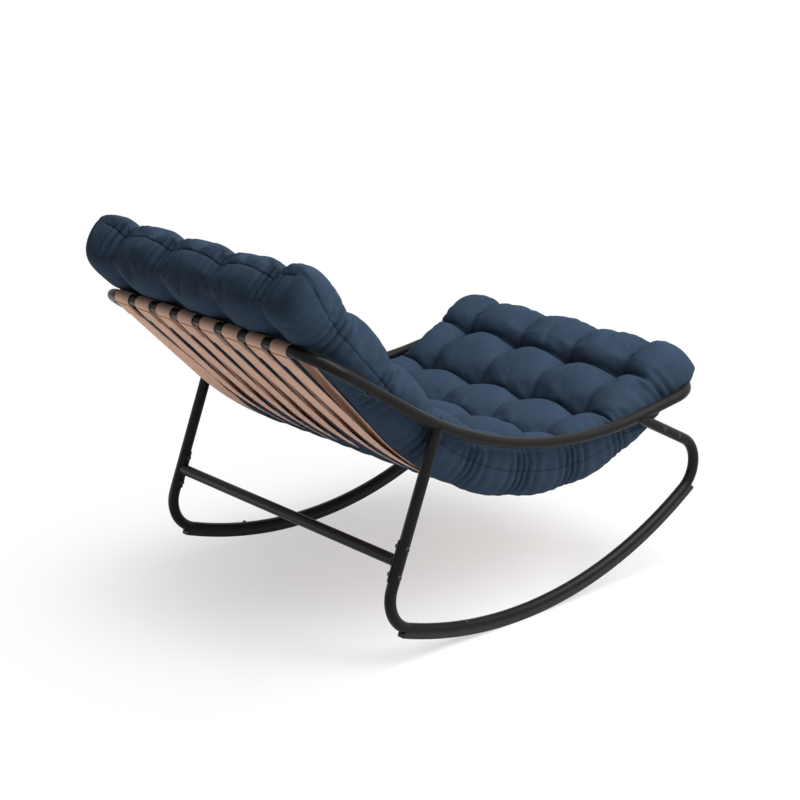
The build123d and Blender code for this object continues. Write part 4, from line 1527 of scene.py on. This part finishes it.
def seen_directly(tree: Tree) -> bpy.types.NodeSocket:
    """Tells what the camera, gloss and glass see from light on the chair.

    Args:
        tree: takes the nodes.

    Returns:
        A socket that is 1 for what is seen and 0 for light.
    """
    path = tree.add("ShaderNodeLightPath")
    seen = tree.calc("MAXIMUM", path.outputs["Is Camera Ray"], path.outputs["Is Glossy Ray"])
    return tree.calc("MAXIMUM", seen, path.outputs["Is Transmission Ray"])


CHAIR_MIDDLE = (0.0, 0.0, 0.4)


@dataclass(frozen=True)
class Lamp:
    """A soft square lamp that faces the chair."""

    name: str
    place: tuple[float, float, float]
    size: float
    power: float
    in_view: bool = True

    def hang(self) -> None:
        """Adds the lamp to the scene."""
        data = bpy.data.lights.new(self.name, "AREA")
        data.size = self.size
        data.energy = self.power
        lamp = bpy.data.objects.new(self.name, data)
        lamp.location = self.place
        aim = Vector(CHAIR_MIDDLE) - Vector(self.place)
        lamp.rotation_euler = aim.to_track_quat("-Z", "Y").to_euler()
        lamp.visible_camera = self.in_view
        bpy.context.scene.collection.objects.link(lamp)


LAMPS = (
    Lamp("key_light", (-3.0, -1.5, 3.0), 2.2, 125.0),
    Lamp("top_light", (-0.7, -0.6, 3.3), 2.4, 118.0),
    Lamp("bounce_light", (0.80, 0.95, 0.03), 0.8, 4.6, in_view=False),
)


@dataclass
class Stage:
    """Pale floor, soft studio light and the camera."""

    eye: tuple[float, float, float] = (-2.92014, 2.55728, 1.59344)
    yaw: float = math.radians(48.84)
    pitch: float = math.radians(16.9)
    lens: float = 79.9
    sensor: float = 36.0
    ambient: float = 0.14
    floor_half: float = 20.0
    floor_tone: float = 0.94
    shadow_r: float = 0.25
    white_r: float = 1.05
    shadow_white: float = 0.52

    def build(self) -> None:
        """Makes the floor, the world, the lights and the camera."""
        self._floor()
        self._world()
        for lamp in LAMPS:
            lamp.hang()
        self._camera()
        bpy.context.scene.view_settings.view_transform = "Standard"

    def _camera(self) -> None:
        """Puts the camera at the photograph's viewing angle."""
        data = bpy.data.cameras.new("camera")
        data.lens = self.lens
        data.sensor_width = self.sensor
        camera = bpy.data.objects.new("camera", data)
        forward = Vector(
            (
                math.sin(self.yaw) * math.cos(self.pitch),
                -math.cos(self.yaw) * math.cos(self.pitch),
                -math.sin(self.pitch),
            )
        )
        camera.location = self.eye
        camera.rotation_euler = forward.to_track_quat("-Z", "Y").to_euler()
        bpy.context.scene.collection.objects.link(camera)
        bpy.context.scene.camera = camera

    def _world(self) -> None:
        """Even light all round, seen as white."""
        world = bpy.data.worlds.new("studio")
        world.use_nodes = True
        world.node_tree.nodes.clear()
        tree = Tree(world.node_tree)
        seen = seen_directly(tree)
        dim = tree.add("ShaderNodeBackground", {"Color": (1, 1, 1, 1), "Strength": self.ambient})
        white = tree.add("ShaderNodeBackground", {"Color": (1, 1, 1, 1), "Strength": 1.0})
        mix = tree.add("ShaderNodeMixShader", {0: seen, 1: dim.outputs[0], 2: white.outputs[0]})
        tree.add("ShaderNodeOutputWorld", {"Surface": mix.outputs[0]})
        bpy.context.scene.world = world

    def _floor(self) -> None:
        """Pale floor that keeps the shadow near the chair and runs to white far off."""
        mesh = bmesh.new()
        bmesh.ops.create_grid(mesh, x_segments=4, y_segments=4, size=self.floor_half)
        data = bpy.data.meshes.new("floor")
        mesh.to_mesh(data)
        mesh.free()
        material, tree = start_material("pale_floor")
        place = tree.add("ShaderNodeTexCoord").outputs["Object"]
        far = tree.add("ShaderNodeVectorMath", {0: place}, operation="LENGTH").outputs["Value"]
        share = tree.add(
            "ShaderNodeMapRange",
            {0: far, 1: self.shadow_r, 2: self.white_r, 3: self.shadow_white, 4: 1.0},
            interpolation_type="SMOOTHSTEP",
        ).outputs[0]
        seen = seen_directly(tree)
        matt = tree.add("ShaderNodeBsdfDiffuse", {"Color": (self.floor_tone,) * 3 + (1.0,)})
        glow = tree.add("ShaderNodeEmission", {"Color": (1, 1, 1, 1), "Strength": 1.0})
        share = tree.calc("MULTIPLY", share, seen)
        mix = tree.add("ShaderNodeMixShader", {0: share, 1: matt.outputs[0], 2: glow.outputs[0]})
        finish_material(tree, mix)
        data.materials.append(material)
        floor = bpy.data.objects.new("floor", data)
        bpy.context.scene.collection.objects.link(floor)


def main() -> None:
    """Builds the chair's pieces in order and sets the stage."""
    logging.basicConfig(level=logging.INFO, format="%(message)s")
    finishes = Finishes()
    tubes = TubeFrame()
    tubes.dress(finishes)
    made = [tubes.welds(finishes.coating)]
    sling = Sling()
    made += [sling.strap(index, finishes.webbing) for index in range(1, sling.count + 1)]
    made += sling.laps(finishes.webbing, finishes.thread)
    made.append(TuftedPad(sling).build(finishes.cloth))
    for piece in made:
        LOG.info("made %s", piece.name)
    Stage().build()


if __name__ == "__main__":
    main()
